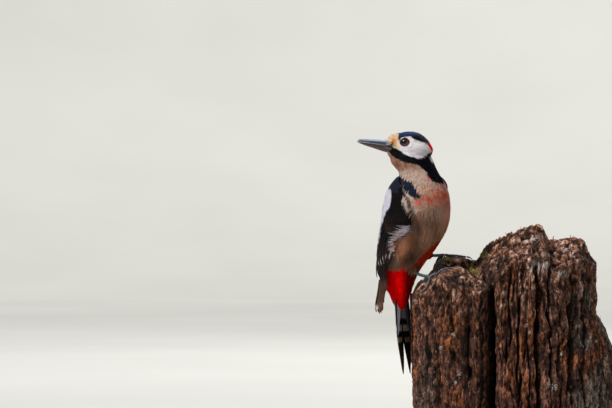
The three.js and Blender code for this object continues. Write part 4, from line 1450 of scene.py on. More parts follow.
def long_feathers(side, lines, tips, half, out, step, profile, tint, rows):
    """Overlapping feathers that fan from shared lines to their own tips."""
    made = []
    for i, (tip_z, tip_x) in enumerate(tips):
        t = i / (len(tips) - 1)
        path = []
        for z, outer, inner in lines:
            if z > tip_z + 5:
                outside = OUTERMOST if outer is None else across_at(z, outer)
                path.append((z, mix(outside, across_at(z, inner), t)))
        path.append((tip_z, OUTERMOST if tip_x is None else across_at(tip_z, tip_x)))
        hang = None
        if tip_z < 140:
            low = [(z, mix(outer, inner, t)) for z, outer, inner in lines if z < HANG_TOP and z > tip_z + 3]
            hang = through([(HANG_TOP, low[0][1] if low else tip_x), *low, (tip_z, tip_x)])
        made.append(wing_feather(side, path, half, out + step * i, profile, tint, rows, 0.1, 9, hang))
    return made


def blunt_tip(s):
    return smooth(s * 8) * np.sqrt(np.maximum(0.01, 1 - np.clip((s - 0.88) / 0.12, 0, 1) ** 2))


def wing_feathers(side):
    """The feathers of one folded wing, from the tips up to the shoulder."""
    band = (159.5, 170.5) if side < 0 else None
    worn_spots = spotted(0.14, 0.4, 0.14, band)
    made = long_feathers(side, PRIMARY_LINES, PRIMARY_TIPS, 1.8, -1.6, 0.3, blunt_tip, worn_spots, 48)
    for (points, *_), colours, _, _ in made:
        x, z = points[:, 0], points[:, 2]
        worn = smooth((150 - z) / 9) * (0.3 + 0.9 * noise(points, (0.9, 0.9, 6), 44))
        colours[:] = over(colours, "4d372d", worn)
        colours[:] = over(colours, "94705f", worn * smooth((132 - z) / 12) * 0.5)
        colours[:] = over(colours, "e0cdc6", spot(x, z, -115.8, 123, 1.7, 2.6, 1.2))
    spots = spotted(0.2, 0.44, 0.3, band)
    made += long_feathers(side, SECONDARY_LINES, SECONDARY_TIPS, 2.6, -0.5, 0.16, long_tip, spots, 40)
    for i in range(4):
        path = [(214, 0.3 + 0.12 * i), (166 + 6 * i, 0.42 + 0.12 * i)]
        made.append(
            wing_feather(side, path, 4.6, 0.1 + 0.2 * i, long_tip, coloured(BLACK, 0.12, 0.2), 22, 0.1, 9)
        )
    for i in range(9):
        across = -0.86 + 0.2 * i
        path = [(206, across), (184 + 1.2 * i, across - 0.02)]
        made.append(wing_feather(side, path, 3.7, 0.0, round_tip, coloured(BLACK, 0.03, 0.5), 16, 0.5))
    for i in range(9):
        across = -0.84 + 0.2 * i
        made.append(
            wing_feather(
                side, [(216, across), (195, across)], 3.7, 0.3, round_tip, coloured(BLACK, 0.03, 0.2), 14,
                0.5
            )
        )
    for row in range(7):
        z = 235 - 4.2 * row
        for i in range(9):
            across = -0.92 + 0.2 * (i + 0.5 * (row % 2))
            # The top two rows are blue-black: a painted sheen on the shoulder.
            tint = coloured(BLACK if row > 1 else SHEEN_BLUE_BLACK, 0.04, 0.12)
            made.append(
                wing_feather(
                    side, [(z, across), (z - 11, across)], 2.8, 0.5 - 0.05 * row, round_tip, tint, 10, 0.4
                )
            )
    return made


def white_tint(along, across, points):
    """White scapulars with a grey shaft line and a few dark flecks."""
    rgb = filled(LAVENDER, len(points)) * (0.92 + 0.16 * noise(points, 1.6, 41))[:, None]
    rgb = over(rgb, WHITE, smooth((np.abs(across) - 0.15) / 0.5) * 0.3)
    rgb = over(rgb, "7d7987", smooth((noise(points, (0.7, 0.7, 5), 42) - 0.62) / 0.12) * 0.7)
    return rgb, np.full(len(points), 0.1)


def scapulars(side):
    """The white feathers down the back edge of the wing."""
    made = []
    for row in range(15):
        z = 227 - 2.7 * row
        inner = float(strip_edge(np.array([z - 7]))[0])
        for i in range(4):
            across = mix(inner + 0.06, 0.98, (i + 0.5 * (row % 2)) / 3.5)
            slope = float(strip_edge(np.array([z - 13]))[0]) - inner
            path = [(z, across), (z - 11, min(0.99, across + 0.9 * slope))]
            half = 0.6 + 0.9 * (1 - inner)
            made.append(wing_feather(side, path, half, 0.3 + 0.02 * row, point_tip, white_tint, 12, 0.15))
    return made


wing_right = vanes("wing_feathers_right", wing_feathers(-1), ["wing_right"])
vanes("wing_feathers_left", wing_feathers(1), ["wing_left"])
vanes("scapulars_right", scapulars(-1))
vanes("scapulars_left", scapulars(1))

TAIL_LEFT = np.array([math.sin(math.radians(TAIL_FACING)), math.cos(math.radians(TAIL_FACING)), 0])
TAIL_UNDER = np.array([math.cos(math.radians(TAIL_FACING)), -math.sin(math.radians(TAIL_FACING)), 0])
# Bars across the outer tail feathers, as heights: each is (top, bottom, colour).
TAIL_BARS = [
    (150, 113.5, linear("9a9cab")), (113.5, 109, BLACK), (109, 103, linear("b9b2a6")), (103, 98.6, BLACK),
    (98.6, 93.4, linear("8f7f6c")), (93.4, 0, BLACK),
]


def tail_tint(pair, side):
    def tint(along, across, points):
        z = points[:, 2] + 0.8 * (noise(points, 1.4, 51) - 0.5)
        rgb = filled(BLACK, len(points))
        if pair >= 1:
            # Painted shade: on the feathers at the bird's left, in the post's shadow, the bars are weaker.
            for top, bottom, colour in TAIL_BARS:
                rgb = over(
                    rgb, colour,
                    smooth((top - z) / 1.0) * smooth((z - bottom) / 1.0) * (0.9 if side < 0 else 0.7)
                )
        if pair == 4:
            # Painted shade: the outer left feather's inner stripe is dark grey instead of pale.
            inner = linear("cbc7d8") if side < 0 else linear("5d5a66")
            rgb = over(rgb, inner, smooth((z - 92) / 3))
            rgb = over(rgb, BLACK, smooth((side * across - 0.25) / 0.15) * smooth((z - 100) / 3))
        # Painted shade: the feathers at the bird's left are darkened towards their outer edge.
        if side > 0:
            rgb = over(rgb, BLACK, smooth((across - 0.1) / 0.3) * 0.85)
        rgb = over(rgb, "5b4538", smooth((98 - z) / 14) * noise(points, (1.2, 1.2, 7), 52) * 0.7)
        rgb = rgb * (0.85 + 0.3 * noise(points, (0.8, 0.8, 3), 53))[:, None]
        return rgb, np.full(len(points), 0.4)

    return tint


def tail_feather(pair, side):
    tip, apart, half = TAIL_PAIRS[pair]
    s = np.linspace(0, 1, 60)
    z = mix(TAIL_ROOT, tip, s)
    spread = side * apart * mix(0.35, 1, s**0.8)
    under = 0.62 * pair + 0.15 * side - 0.012 * spread**2
    centre = stack(tail_x(z), tail_y(z), z) + TAIL_LEFT * spread[:, None] + TAIL_UNDER * under[:, None]
    width = half * point_tip(s)
    sides = filled(TAIL_LEFT, len(s))
    normals = np.tile(-TAIL_UNDER, (len(s), 1))
    made = vane(centre, sides, normals, np.stack([width, width], 1), thick=0.5, columns=9, camber=0.06)
    colours, gloss = tail_tint(pair, side)(made[2][:, 1], made[3], made[0])
    return made, colours, gloss, TAIL_ROOT - tip


vanes(
    "tail_feathers", [tail_feather(pair, side) for pair in range(5) for side in (-1, 1)],
    ["tail"]
)

# Long feathers that lie over the near wing: the white ones of the flank on its lower edge, and the
# cream ones of the breast on its front edge. Both start and end along lines in the picture.
LYING = {
    "coat_flank": {
        "roots": [(0, -88.5, 192), (0.35, -94, 186), (0.7, -99.6, 179), (1, -102.8, 171.5)],
        "tips": [(0, -100, 189), (0.35, -107.6, 183.5), (0.7, -108.2, 177.5), (1, -106.6, 167)],
        "count": 230, "bias": 1.8, "spread": (-1, 9), "rough": 1.4, "sway": 3.4, "half": 0.21,
        "pale": "b4afbb", "dull": "6d6873", "tinted": 1.0,
    },
    "coat_side": {
        "roots": [(0, -91.5, 218.6), (0.33, -88.5, 215), (0.67, -85.5, 211.5), (1, -83.5, 208)],
        "tips": [(0, -96, 214.5), (0.33, -93.2, 209.5), (0.67, -91, 204.5), (1, -88.8, 200)],
        "count": 380, "bias": 1.3, "spread": (-2, 6), "rough": 1.1, "sway": 2.2, "half": 0.42,
        "pale": "bba99d", "dull": "8b776a", "tinted": 0.75,
    },
}


def seen_tree(*objects):
    """A search tree over the surfaces of several pieces, in mm."""
    points, faces = [], []
    for obj in objects:
        co = np.zeros(len(obj.data.vertices) * 3, np.float32)
        obj.data.vertices.foreach_get("co", co)
        faces += [[len(points) + v for v in f.vertices] for f in obj.data.polygons]
        points += (co.reshape(-1, 3) / MM).tolist()
    return BVHTree.FromPolygons(points, faces)


def lying_feathers(name, surface):
    """A patch of long thin feathers over the near wing, each on the surface that the camera sees there."""
    kind = LYING[name]
    count = kind["count"]
    s = rng.random(count) ** kind["bias"]
    root_x, root_z, tip_x, tip_z = (through(kind[end], c)(s) for end in ("roots", "tips") for c in (1, 2))
    root_x = root_x + rng.uniform(*kind["spread"], count)
    root_z = root_z + rng.normal(0, kind["rough"], count)
    reach = rng.uniform(0.25, 1.05, count)
    sway = rng.normal(0, kind["sway"], count)
    lines = []
    for i in range(count):
        row = []
        for t in STATIONS:
            x = mix(root_x[i], tip_x[i], t * reach[i])
            z = mix(root_z[i], tip_z[i] + sway[i] * t, t * reach[i]) + 1.2 * t * (1 - t)
            hit = surface.ray_cast(Vector((x, -90, z)), Vector((0, 1, 0)))[0]
            y = hit[1] if hit is not None else (row[-1][1] if row else -45)
            if row:
                y = min(y, row[-1][1] + 2.2)
            row.append((x, y - 0.5 - 0.5 * t, z))
        lines.append(row)
    line = np.array(lines)
    ups = np.tile(unit(np.array([-0.35, -1.0, 0.1])), (count, 4, 1))
    half = kind["half"] * np.tile([0.8, 1, 0.6, 0], (count, 1)) * rng.uniform(0.6, 1.2, (count, 1))
    points = sections(line, ups, half, 0.05 + 0.1 * half).reshape(-1, 3)
    obj = new_object(name, points, [blade_faces(count)], False)
    value = rng.random(count)
    tip = over(
        np.tile(linear(kind["pale"]), (count, 1)), linear(kind["dull"]), smooth((value - 0.4) / 0.4) * 0.8
    )
    root = markings(line[:, 0])[0]
    share = kind["tinted"] * np.array([0.05, 0.05, 0.05, 0.4, 0.4, 0.4, 0.85, 0.85, 0.85, 1.0])
    tint = root[:, None] * (1 - share)[None, :, None] + tip[:, None] * share[None, :, None]
    paint(obj, tint.reshape(-1, 3), np.zeros(len(points)))
    unwrap(
        obj, np.repeat(skin_map(line[:, 0]), 10, axis=0) + PATCH * rng.uniform(-0.5, 0.5, (len(points), 2))
    )
    put(obj, plumage)


near_side = seen_tree(skin, wing_right)
for name in LYING:
    lying_feathers(name, near_side)

# ------------------------------------------------------------ bill, eyes, claws


UNDER_SWELL = 0.75


def bill_half(outline, up):
    """One half of the bill, with a ridge along its side."""

    def place(u, angle):
        x = mix(BILL_TIP, BILL_ROOT, u**1.2)
        away = np.maximum(0, up * np.sin(angle)) ** 0.9
        seam = tomium(x) + up * 0.12
        belly = UNDER_SWELL * smooth((x - BILL_TIP) / 9) * (up < 0)
        z = seam + away * (outline(x) - belly - seam)
        open_end = np.where((u < 1e-6) | (u > 1 - 1e-6), 0, 1)
        ridge_side = (
            0.12 * np.exp(-(((away - 0.55) / 0.12) ** 2)) - 0.1 * np.exp(-(((away - 0.3) / 0.14) ** 2))
        )
        wide = bill_width(x) * np.cos(angle) * (1 + ridge_side * smooth(u * 3))
        return stack(x, HEAD[1] + wide * open_end, z)

    return form(110, 48, place)


def bill_colour(p, up):
    x, z = p[:, 0], p[:, 2]
    tall = np.clip(
        np.abs(z - tomium(x)) / np.maximum(0.3, np.abs((culmen(x) if up > 0 else gonys(x)) - tomium(x))), 0,
        1
    )
    grain = noise(p, (6, 0.8, 0.5), 71)
    if up > 0:
        rgb = filled("4d5468", len(p))
        # Painted highlight: the top of the upper mandible is pale blue.
        rgb = over(rgb, "a4b1cf", smooth((tall - 0.5) / 0.2) * 0.9)
        # Painted shade: a near-black line along the groove in its side.
        rgb = over(rgb, "15131a", smooth(1.2 - np.abs(tall - 0.3) / 0.17) * smooth((x + 126) / 6) * 0.9)
        # Painted highlight: a paler blue band above the cutting edge towards the base.
        rgb = over(rgb, "5d6480", smooth(1.1 - np.abs(tall - 0.16) / 0.1) * smooth((x + 114) / 8) * 0.6)
    else:
        rgb = filled("2d2829", len(p))
        # Painted highlight: a pale streak along the lower mandible near its base.
        rgb = over(rgb, "85879a", smooth(1.1 - np.abs(tall - 0.42) / 0.11) * smooth((x + 112) / 6) * 0.7)
        rgb = over(
            rgb, "7c3d33", smooth((tall - 0.66) / 0.25) * (0.35 + 0.65 * grain) * smooth((-103 - x) / 4)
        )
    rgb = over(rgb, "0f0c10", smooth((0.12 - tall) / 0.1) * 0.9)
    rgb = over(rgb, "211f24", smooth((-125 - x) / 7) * 0.6)
    return rgb * (0.8 + 0.4 * grain)[:, None]


bill_look = bill_material()
for name, outline, up in (("bill_upper_horn", culmen, 1), ("bill_lower_horn", gonys, -1)):
    points, groups = bill_half(outline, up)
    obj = new_object(name, points, groups)
    paint(obj, bill_colour(points, up))
    put(obj, bill_look)
    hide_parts("bill_upper" if up > 0 else "bill_lower")

# Short stiff bristles over the nostrils.
BRISTLES = 170
angle = rng.uniform(0.1, 3.04, BRISTLES)
x = rng.uniform(-104.2, -102.0, BRISTLES)
start = stack(
    x, HEAD[1] + (bill_width(x) + 0.3) * np.cos(angle),
    tomium(x) + 1.2 + (culmen(x) - tomium(x) - 0.9) * np.sin(angle)
)
lean = unit(stack(-1, 0.16 * np.cos(angle), 0.1 * np.sin(angle) - 0.14))
length = rng.uniform(2.4, 5.4, BRISTLES)[:, None]
line = np.stack([start + lean * length * s for s in STATIONS], 1)
ups = np.tile(unit(stack(0, np.cos(angle), np.sin(angle)))[:, None], (1, 4, 1))
half = np.tile([0.16, 0.14, 0.09, 0], (BRISTLES, 1))
points = sections(line, ups, half, half * 0.9).reshape(-1, 3)
bristles = new_object("coat_bristles", points, [blade_faces(BRISTLES)])
shade = over(filled("d9c9b2", BRISTLES), "54423a", rng.random(BRISTLES) ** 1.5 * 0.9)
paint(bristles, np.repeat(shade, 10, axis=0), np.zeros(len(points)))
unwrap(bristles, np.repeat(skin_map(start), 10, axis=0) + PATCH * rng.uniform(-0.5, 0.5, (len(points), 2)))
put(bristles, plumage)

eye_look = eye_material()
for name, side in (("right", 1), ("left", -1)):
    turns, rings = 96, 64

    def ball(u, angle):
        axis = eye_axis(side)
        first = unit(np.cross(axis, (0, 0, 1)))
        second = np.cross(axis, first)
        turn = np.pi * u
        r = EYE["radius"]
        return (
            eye_centre(side)
            + axis * (r * np.cos(turn))[:, None]
            + first * (r * np.sin(turn) * np.cos(angle))[:, None]
            + second * (r * np.sin(turn) * np.sin(angle))[:, None]
        )

    points, groups = form(rings, turns, ball)
    obj = new_object(f"eyeball_{name}", points, groups)
    outward = unit(points - eye_centre(side))
    away = np.arccos(np.clip(dot(outward, eye_axis(side))[:, 0], -1, 1)) / (np.pi / 2) * 0.75
    store(obj, "Round", away)
    # Low: how far a point faces down and back, where the iris is painted lit.
    store(obj, "Low", smooth(0.5 + dot(outward, unit(np.array([0.7, 0, -0.7])))[:, 0] * 1.5))
    put(obj, eye_look)
    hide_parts(f"eye_{name}")

claw_look = plain_material(
    "claw_horn", 0.32, (1.2, 3.0, 0.55, (1, 1, 3)), [(0.3, "1d1c1d"), (0.7, "4a4644")], 0.5, 0.08, 0.5
)
for side, leg in LEGS.items():
    parts = []
    for rows in leg["toes"]:
        before, end = toe_path(rows)[-2:]
        ahead = unit(end - before)

        def at(along, drop):
            return (
                end + ahead * along * CLAW["length"]
                + np.array([0, 0, -drop * CLAW["droop"] * CLAW["length"]])
            )

        path = [at(0.0, -0.03), at(0.24, -0.05), at(0.45, 0.0), at(0.7, 0.22), at(0.84, 0.5)]
        parts.append(
            tube(
                path, lambda u, angle: CLAW["radius"] * (1.05 - 0.98 * u) * (1 - 0.15 * np.cos(angle) ** 2),
                32, 14
            )
        )
    points, groups = joined(parts)
    obj = put(new_object(f"claws_{side}", points, groups), claw_look)
    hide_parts(*[f"claw_{side}_{i}" for i in (1, 2, 3, 4)])

# ------------------------------------------------------------ post


def side_radius(angle, z):
    """How far the post's side stands from its middle line."""
    c, s = np.cos(angle), np.sin(angle)
    low = 1 - np.clip((z - PERCH_FOOT) / (POST["flare_top"] - PERCH_FOOT), 0, 1)
    across = np.where(
        c < 0, POST["left"] - 3 * low, POST["right"] + POST["flare"] * low ** POST["flare_bend"]
    )
    n = POST["square"]
    radius = (np.abs(c / across) ** n + np.abs(s / POST["half_depth"]) ** n) ** (-1 / n)
    x = radius * c
    worn = sum(depth * np.exp(-(((x - place) / half) ** 2)) for place, half, depth in HOLLOWS)
    return radius - worn * np.minimum(1, np.abs(s) * 1.6)


# Deep splits down the front: place along X, half width, depth, foot, top, and how much they wander.
SPLITS = [
    (CRACK["x"], 4.5, 24, 10, 154, 1.2), (-42, 1.2, 6, 60, 128, 1.5), (-66, 0.9, 4, 30, 110, 1.2),
    (20, 1.6, 9, 20, 168, 2),
    (31, 1.2, 7, 60, 178, 2), (50, 1.5, 8, 40, 176, 2.4), (3, 1.0, 5, 40, 150, 2),
    (-55, 0.9, 4, 90, 150, 1), (-5, 0.9, 5, 90, 178, 1.4),
    (40, 1.0, 5, 20, 120, 2), (62, 1.2, 6, 20, 150, 2), (12, 0.8, 4, 30, 120, 1.6),
    (-31, 0.9, 4, 30, 150, 1.5), (-75, 0.8, 3, 60, 132, 1),
]


def feet_near(p):
    """From 1 under the feet to 0 well away from them."""
    reach = np.full(len(p), 1e3)
    for leg in LEGS.values():
        for rows in leg["toes"]:
            for q in toe_path(rows):
                reach = np.minimum(reach, np.linalg.norm(p[:, :2] - q[:2], axis=1))
    return smooth(1 - (reach - 2) / 9)


# Holes in the front of the post: X, height, half width and half height.
HOLES = [
    (20.2, 109.7, 1.9, 7), (-42.9, 101.6, 1.3, 9), (-69, 101.6, 1.6, 4), (50.3, 116, 1.1, 14),
    (19.3, 86.3, 1.9, 3), (19.3, 139, 0.8, 13), (-40.2, 69.2, 2.4, 6), (30, 142, 1.3, 5),
    (-19, 158, 2.4, 7), (-55, 84, 1.2, 5), (37, 74, 1.4, 7), (-8, 88, 1.1, 9), (5, 62, 1.5, 6),
    (-70, 66, 1.2, 8), (60, 70, 1.5, 7), (-58, 122, 1.1, 5), (4, 128, 1.0, 6),
]
# Pale pinkish patches on the front of the post, partly bleach and partly painted highlight: X, height, half
# width and half height.
BLEACH_AND_HIGHLIGHT = [
    (21, 160, 11, 6), (-22, 174.5, 5, 4), (14, 185, 12, 6), (-40, 177, 12, 4), (46, 174, 5, 3),
    (40, 153, 6, 4),
]


def wood_relief(p):
    """How far in the weathered surface lies, and how dark it is painted: shade in its deep grooves, pits,
    holes and splits.
    """
    x, y, z = p[:, 0], p[:, 1], p[:, 2]
    wander = 5 * (noise(p, (30, 30, 38), 81) - 0.5)
    q = stack(x + wander, y + wander, z)
    broad = fractal(q, (10, 10, 60), 3, 82)
    flute = 1 - np.abs(2 * noise(q, (4.6, 4.6, 44), 83) - 1)
    flute = flute**2.2
    fibre = fractal(q, (1.8, 1.8, 15), 3, 84)
    pit = smooth((fractal(q, (2.4, 2.4, 7), 3, 86) - 0.6) / 0.1)
    rill = np.abs(2 * noise(q, (2.9, 2.9, 24), 88) - 1)
    deep = (
        3.0 * (broad - 0.35) + 1.9 * (1 - flute) + 2.2 * (fibre - 0.4) + 1.6 * pit
        + 1.5 * smooth((0.3 - rill) / 0.3)
    )
    knob = fractal(q, (5.4, 5.4, 10), 4, 89)
    deep = deep + 8.5 * np.maximum(-0.2, knob - 0.48)
    # Painted shade: darker where the flutes, fibres, pits, rills and knobs lie deepest.
    dark = np.maximum(smooth((0.5 - flute) / 0.5) * 0.35 + smooth((fibre - 0.55) / 0.1) * 0.45, pit * 0.85)
    dark = np.maximum(dark, smooth((0.16 - rill) / 0.14) * 0.7)
    dark = np.maximum(dark, smooth((knob - 0.56) / 0.1) * 0.75)
    front = smooth((-y - 20) / 16)
    for place, level, wide, tall in HOLES:
        off = np.hypot((x + 1.2 * (fibre - 0.5) - place) / wide, (z - level) / tall)
        hole = smooth(1.5 - off) * front
        deep = deep + 4.5 * hole
        # Painted shade inside the holes.
        dark = np.maximum(dark, smooth((hole - 0.2) / 0.4) * 0.95)
    for place, half, depth, foot, top, bend in SPLITS:
        middle = place + bend * (2 * noise(stack(z / 17, place, 0), 1, 85) - 1)
        taper = smooth((z - foot) / 18 + 0.5) * smooth((top - z) / 26)
        ragged = 0.75 + 0.5 * noise(stack(x / 3, place, z / 4), 1, 87)
        gap = np.exp(-(((x - middle) / (half * ragged * (0.35 + 0.65 * taper) + 0.15)) ** 2)) * taper * front
        deep = deep + depth * gap
        # Painted shade inside the splits.
        dark = np.maximum(dark, smooth((gap - 0.25) / 0.35) * 0.95)
    return np.maximum(deep, -0.4) * (0.45 + 0.55 * smooth((-y + 10) / 40)), dark


def post_grid(columns, side_rows, top_rows, foot_rows):
    """Points of the post: its sawn end, sides and broken top, as rings of columns."""
    turn = 2 * np.pi * np.arange(columns) / columns
    angle = turn - 0.36 * np.cos(turn)  # closer together at the front
    rim_radius = side_radius(angle, 140.0)
    rim_height = top_height(0.95 * rim_radius * np.cos(angle), 0.95 * rim_radius * np.sin(angle)) - 4
    rows = []
    for i in range(1, foot_rows + 1):
        r = side_radius(angle, PERCH_FOOT + 0.0) * (i / foot_rows) * 0.985
        rows.append((stack(r * np.cos(angle), r * np.sin(angle), PERCH_FOOT), "foot", i / foot_rows))
    for i in range(side_rows + 1):
        t = i / side_rows
        z = mix(PERCH_FOOT, rim_height, t)
        r = side_radius(angle, z)
        rows.append((stack(r * np.cos(angle), r * np.sin(angle), z), "side", t))
    for i in range(1, top_rows):
        inwards = (i / top_rows) ** 1.15
        r = side_radius(angle, rim_height) * (1 - inwards)
        x, y = r * np.cos(angle), r * np.sin(angle)
        rows.append((stack(x, y, top_height(x, y)), "top", inwards))
    return angle, rows


def broken_top(points, t, still):
    """How far in the broken top lies, and how dark it is painted with shade in its low places and splits,
    from t = 0 at the rim.
    """
    craggy = fractal(points, (6, 6, 6), 4, 91)
    splinter = fractal(points, (1.6, 3.6, 3.6), 3, 92)
    ledge = np.abs(2 * noise(points, (9, 5, 5), 95) - 1)
    lumps = 15 * (craggy - 0.44) + 5.5 * (splinter - 0.42) + 3 * (0.5 - ledge)
    sink = np.maximum(lumps, -1.1) * smooth(t * 5 + 0.25) * still
    split = 0
    for place, half, depth, _, high, bend in SPLITS[:6]:
        off = points[:, 0] - place - 2.5 * (noise(points, 7, 93) - 0.5)
        reach = smooth((-points[:, 1] - 14) / 30) * (high > 140)
        split = split + depth * 0.35 * np.exp(-((off / (half * 0.7)) ** 2)) * reach
    # Painted shade in the top's low places and splits.
    dark = np.maximum(smooth((lumps - 0.9) / 1.3) * 0.85, smooth(split / 3) * 0.85)
    return sink + split * still, dark * (0.3 + 0.7 * still)


def build_post():
    """The post's surface, and at each point how dark it is with painted shade, how pale with bleach and
    painted highlight, and how grey.
    """
    columns = 600
    angle, rows = post_grid(columns, 92, 58, 4)
    outward = stack(np.cos(angle), np.sin(angle), 0)
    made, dark, tops, greys = [], [], [], []
    for points, kind, t in rows:
        deep, groove = wood_relief(points)
        feet = feet_near(points)
        if kind == "foot":
            moved, groove, top = points + stack(0, 0, 0.4 * noise(points, 3, 90)), groove * 0.3, 0.0 * groove
        elif kind == "side":
            ends = (smooth((1 - t) * 12) * 0.8 + 0.2) * (smooth(t * 30) * 0.9 + 0.1)
            still = 1 - 0.75 * feet * smooth((t - 0.8) / 0.2)
            moved = points - outward * (deep * ends * still)[:, None]
            # The paler top colour, partly painted highlight, reaches patchily down the upper sides.
            patchy = smooth((noise(points, (5, 5, 11), 96) - 0.42) / 0.2)
            top = smooth((points[:, 2] - 96) / 52) * patchy * 0.62
        else:
            sink, pits = broken_top(points, t, 1 - 0.92 * feet)
            moved = points - stack(0, 0, 1) * sink[:, None]
            groove = np.maximum(pits, groove * 0.6 * smooth(1 - 3 * t))
            # The broken top takes the paler top colour, partly painted highlight.
            top = 0.4 + 0.6 * smooth((noise(points, 6.5, 97) - 0.36) / 0.25)
        made.append(moved)
        dark.append(groove)
        tops.append(top)
        right = smooth((moved[:, 0] - 24) / 40) * smooth((165 - moved[:, 2]) / 40)
        left = smooth((-50 - moved[:, 0]) / 20) * smooth((95 - moved[:, 2]) / 30) * 0.5
        peak = spot(moved[:, 0], moved[:, 2], 14, 184, 18, 12, 1.2)
        value = (0.8 * right + left) * smooth((noise(moved, (7, 7, 16), 94) - 0.3) / 0.4) + 0.25 * peak
        greys.append(np.clip(value, 0, 1))
    points = np.concatenate(made)
    centre = top_height(np.array([0.0]), np.array([0.0]))[0]
    last = len(points)
    points = np.concatenate([points, [[0, 0, PERCH_FOOT], [0, 0, centre - 1.5]]])
    ring = np.arange(columns)
    cap = fan(last + 1, (len(rows) - 1) * columns + ring)[:, [0, 2, 1]]
    groups = facing_out(points, [ring_faces(len(rows), columns), fan(last, ring), cap])
    obj = new_object("post", points, groups)
    pale = [(m[:, 1] < -20) * sum(spot(m[:, 0], m[:, 2], *place, 1.3) for place in BLEACH_AND_HIGHLIGHT) for m in made]
    for name, values in (("Groove", dark), ("Top", tops), ("Grey", greys), ("Pale", pale)):
        store(obj, name, np.clip(np.concatenate([*values, [0.0, 1.0]]).astype(np.float32), 0, 1))
    put(obj, wood_look)
    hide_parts("perch")
    return obj


wood_look = wood_material()
post = build_post()

# Moss and lichen on the post: tufts where they grow in the top's hollows and on its face.
MOSS = [
    (-23.5, 167, 3.4, 2.2), (-26, 172, 1.6, 1.2), (-35, 156.4, 3.2, 3.6), (-31, 153.5, 2, 2.4),
    (-54, 163.6, 3, 1),
]
LICHEN = [
    (-82.6, 129, 1.7), (-52, 102, 1.6), (9, 110, 1.4), (26, 161, 2.6), (39, 86, 1.2), (-62, 91, 1.5),
    (-47, 69, 2.0), (33, 58, 2.6), (28, 61, 1.8), (69, 96, 1.2), (-50, 62, 1.5), (12, 104, 1.0),
]
post_tree = seen_tree(post)


def tufts(name, centres, normals, length, half, stops):
    """Short upright blades round given places."""
    count = len(centres)
    lean = unit(normals + rng.normal(0, 0.45, (count, 3)))
    line = np.stack([centres + lean * length[:, None] * s for s in STATIONS], 1)
    ups = np.tile(unit(np.cross(lean, rng.normal(size=(count, 3))))[:, None], (1, 4, 1))
    width = half * np.tile([0.8, 1.0, 0.7, 0], (count, 1))
    points = sections(line, ups, width, width * 0.7).reshape(-1, 3)
    obj = new_object(name, points, [blade_faces(count)])
    return put(obj, plain_material(name, 0.95, (1.5, 5.0, 0.7), stops, 0.1, 0.5, 0.8))


def in_on(x, z):
    hits = [post_tree.ray_cast(Vector((a, -110, b)), Vector((0, 1, 0))) for a, b in zip(x, z)]
    good = [h for h in hits if h[0] is not None]
    return np.array([h[0] for h in good]), np.array([h[1] for h in good])


spots = [
    rng.normal((x, z), (wide * 0.6, tall * 0.6), (int(10 * (wide + tall)), 2)) for x, z, wide, tall in MOSS
]
places, ups = in_on(*np.concatenate(spots).T)
length = rng.uniform(1.5, 5.5, len(places)) * rng.uniform(0.5, 1, len(places))
ups = unit(ups + np.array([0, -0.2, 0.6]))
tufts("post_moss", places, ups, length, 0.14, [(0.3, "6a6f1e"), (0.5, "b4b542"), (0.7, "e8e287")])
spots = [rng.normal((x, z), (r * 0.5, r * 0.6), (int(26 * r), 2)) for x, z, r in LICHEN]
places, ups = in_on(*np.concatenate(spots).T)
length = rng.uniform(0.3, 0.8, len(places))
tufts("post_lichen", places, ups, length, 0.34, [(0.3, "8a7f7b"), (0.5, "c4bbb6"), (0.7, "f0ebe7")])

# Slivers of wood that stand up from the broken top and hang along the grain of the sides.
SLIVERS = 1900
sides = post.data.polygons
height = np.array([f.center.z for f in sides]) / MM
areas = np.array([f.area for f in sides]) / MM**2
normal_y = np.array([f.normal.y for f in sides])
share = areas * (0.3 * smooth((height - 112) / 34) + 0.35) * (0.25 + smooth(0.5 - normal_y)) * (height > 40)
picked = rng.choice(len(share), SLIVERS, p=share / share.sum())
picked = picked[feet_near(np.array([sides[i].center for i in picked]) / MM) < 0.3]
starts = np.array([sides[i].center for i in picked]) / MM
ups = np.array([sides[i].normal for i in picked])
count = len(starts)
grain = np.tile([0.0, 0, 1], (count, 1)) * np.sign(rng.random((count, 1)) - 0.35)
grain = unit(grain - dot(grain, ups) * ups + rng.normal(0, 0.16, (count, 3)))
level = smooth((ups[:, 2:] - 0.4) / 0.4)
lean = unit(grain + ups * (0.14 + 0.2 * level) + rng.normal(0, 0.3, (count, 3)) * level)
length = rng.uniform(1.4, 4.6, (count, 1)) * mix(1.2, 0.62, level)
line = np.stack([starts + lean * length * s - ups * 0.12 * length * s**2 for s in STATIONS], 1)
half = rng.uniform(0.16, 0.42, (count, 1)) * np.array([1, 0.9, 0.6, 0])
points = sections(line, np.tile(ups[:, None], (1, 4, 1)), half, 0.08 + 0.4 * half).reshape(-1, 3)
slivers = new_object("post_slivers", points, [blade_faces(count)], False)
store(slivers, "Top", np.repeat(0.9 * rng.random(count) ** 2, 10))
store(slivers, "Groove", np.repeat(smooth((fractal(starts, (6, 6, 9), 3, 96) - 0.5) / 0.12) * 0.85, 10))
put(slivers, wood_look)

# ------------------------------------------------------------ stand

board, steel = stand_material(), steel_material()
for name, material, slot in (
    ("stand_base", board, "stand_wood"),
    ("stand_rod_left", steel, "stand_steel"),
    ("stand_rod_right", steel, "stand_steel"),
):
    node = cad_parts[name]
    node.data.materials.clear()
    node.data.materials.append(material)

# ------------------------------------------------------------ floor, light and camera


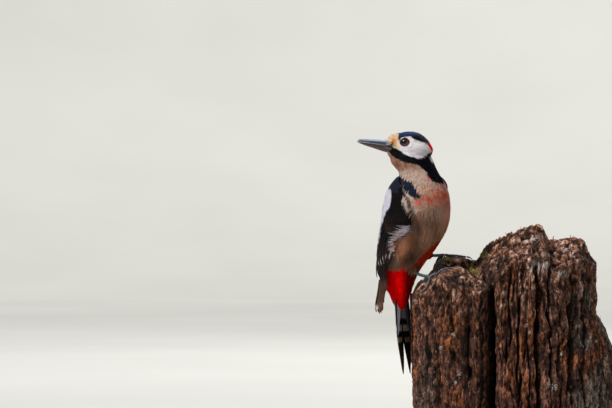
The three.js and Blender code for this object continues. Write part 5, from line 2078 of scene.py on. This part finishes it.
def bowl():
    """A pale floor, flat round the model and curving up far away."""
    flat = 5
    radii = np.concatenate([[0.4, 1, 2, 3.5, flat], np.linspace(5.6, 9.5, 14)])
    turns = 72
    angle = 2 * np.pi * np.arange(turns) / turns
    rows = [stack(r * np.cos(angle), r * np.sin(angle), np.maximum(0, r - flat) ** 2 / 4.2) for r in radii]
    points = np.concatenate([*rows, [[0, 0, 0]]]) / MM
    middle = fan(len(points) - 1, np.arange(turns))
    obj = new_object("studio_floor", points, [ring_faces(len(radii), turns)[:, ::-1], middle])
    m = Nodes("studio_floor", 0.9)
    m.set(Base_Color=m.ramp(m.noise(0.002, 2.0), [(0.3, "c9c9c4"), (0.7, "cfcfca")]), Specular_IOR_Level=0.1)
    obj.data.materials.append(m.material)


bowl()
TARGET = Vector((-0.06, -0.02, 0.19))  # what the lights aim at


def light(kind, name, place, power, colour=(1, 1, 1), **more):
    """A light at a place in metres, aimed at the bird. A sun's power is its strength."""
    data = bpy.data.lights.new(name, kind)
    for key, value in {"energy": power, "color": colour, **more}.items():
        setattr(data, key, value)
    obj = bpy.data.objects.new(name, data)
    obj.location = place
    obj.rotation_mode = "QUATERNION"
    obj.rotation_quaternion = (TARGET - obj.location).to_track_quat("-Z", "Y")
    bpy.context.scene.collection.objects.link(obj)


light("SUN", "key", (-1.9, -1.5, 2.2), 3.6, (1.0, 0.985, 0.96), angle=math.radians(11))
light("AREA", "rim", (0.5, 1.9, 1.7), 22, shape="DISK", size=1.2)

world = bpy.data.worlds.new("studio")
world.use_nodes = True
background = world.node_tree.nodes["Background"]
background.inputs["Color"].default_value = (0.86, 0.9, 0.95, 1)
background.inputs["Strength"].default_value = 0.3
bpy.context.scene.world = world
bpy.context.scene.view_settings.view_transform = "Standard"

DISTANCE = 3.0
FRAME_WIDTH = 0.5202  # metres across the picture at the bird
FRAME_CENTRE = (-0.17595, 0.2119)  # x and z
camera = bpy.data.cameras.new("camera")
camera.sensor_width = 36
camera.lens = camera.sensor_width * DISTANCE / FRAME_WIDTH
camera.clip_end = 60
camera_object = bpy.data.objects.new("camera", camera)
camera_object.location = (FRAME_CENTRE[0], HEAD[1] * MM - DISTANCE, FRAME_CENTRE[1])
camera_object.rotation_euler = (math.pi / 2, 0, 0)
bpy.context.scene.collection.objects.link(camera_object)
bpy.context.scene.camera = camera_object
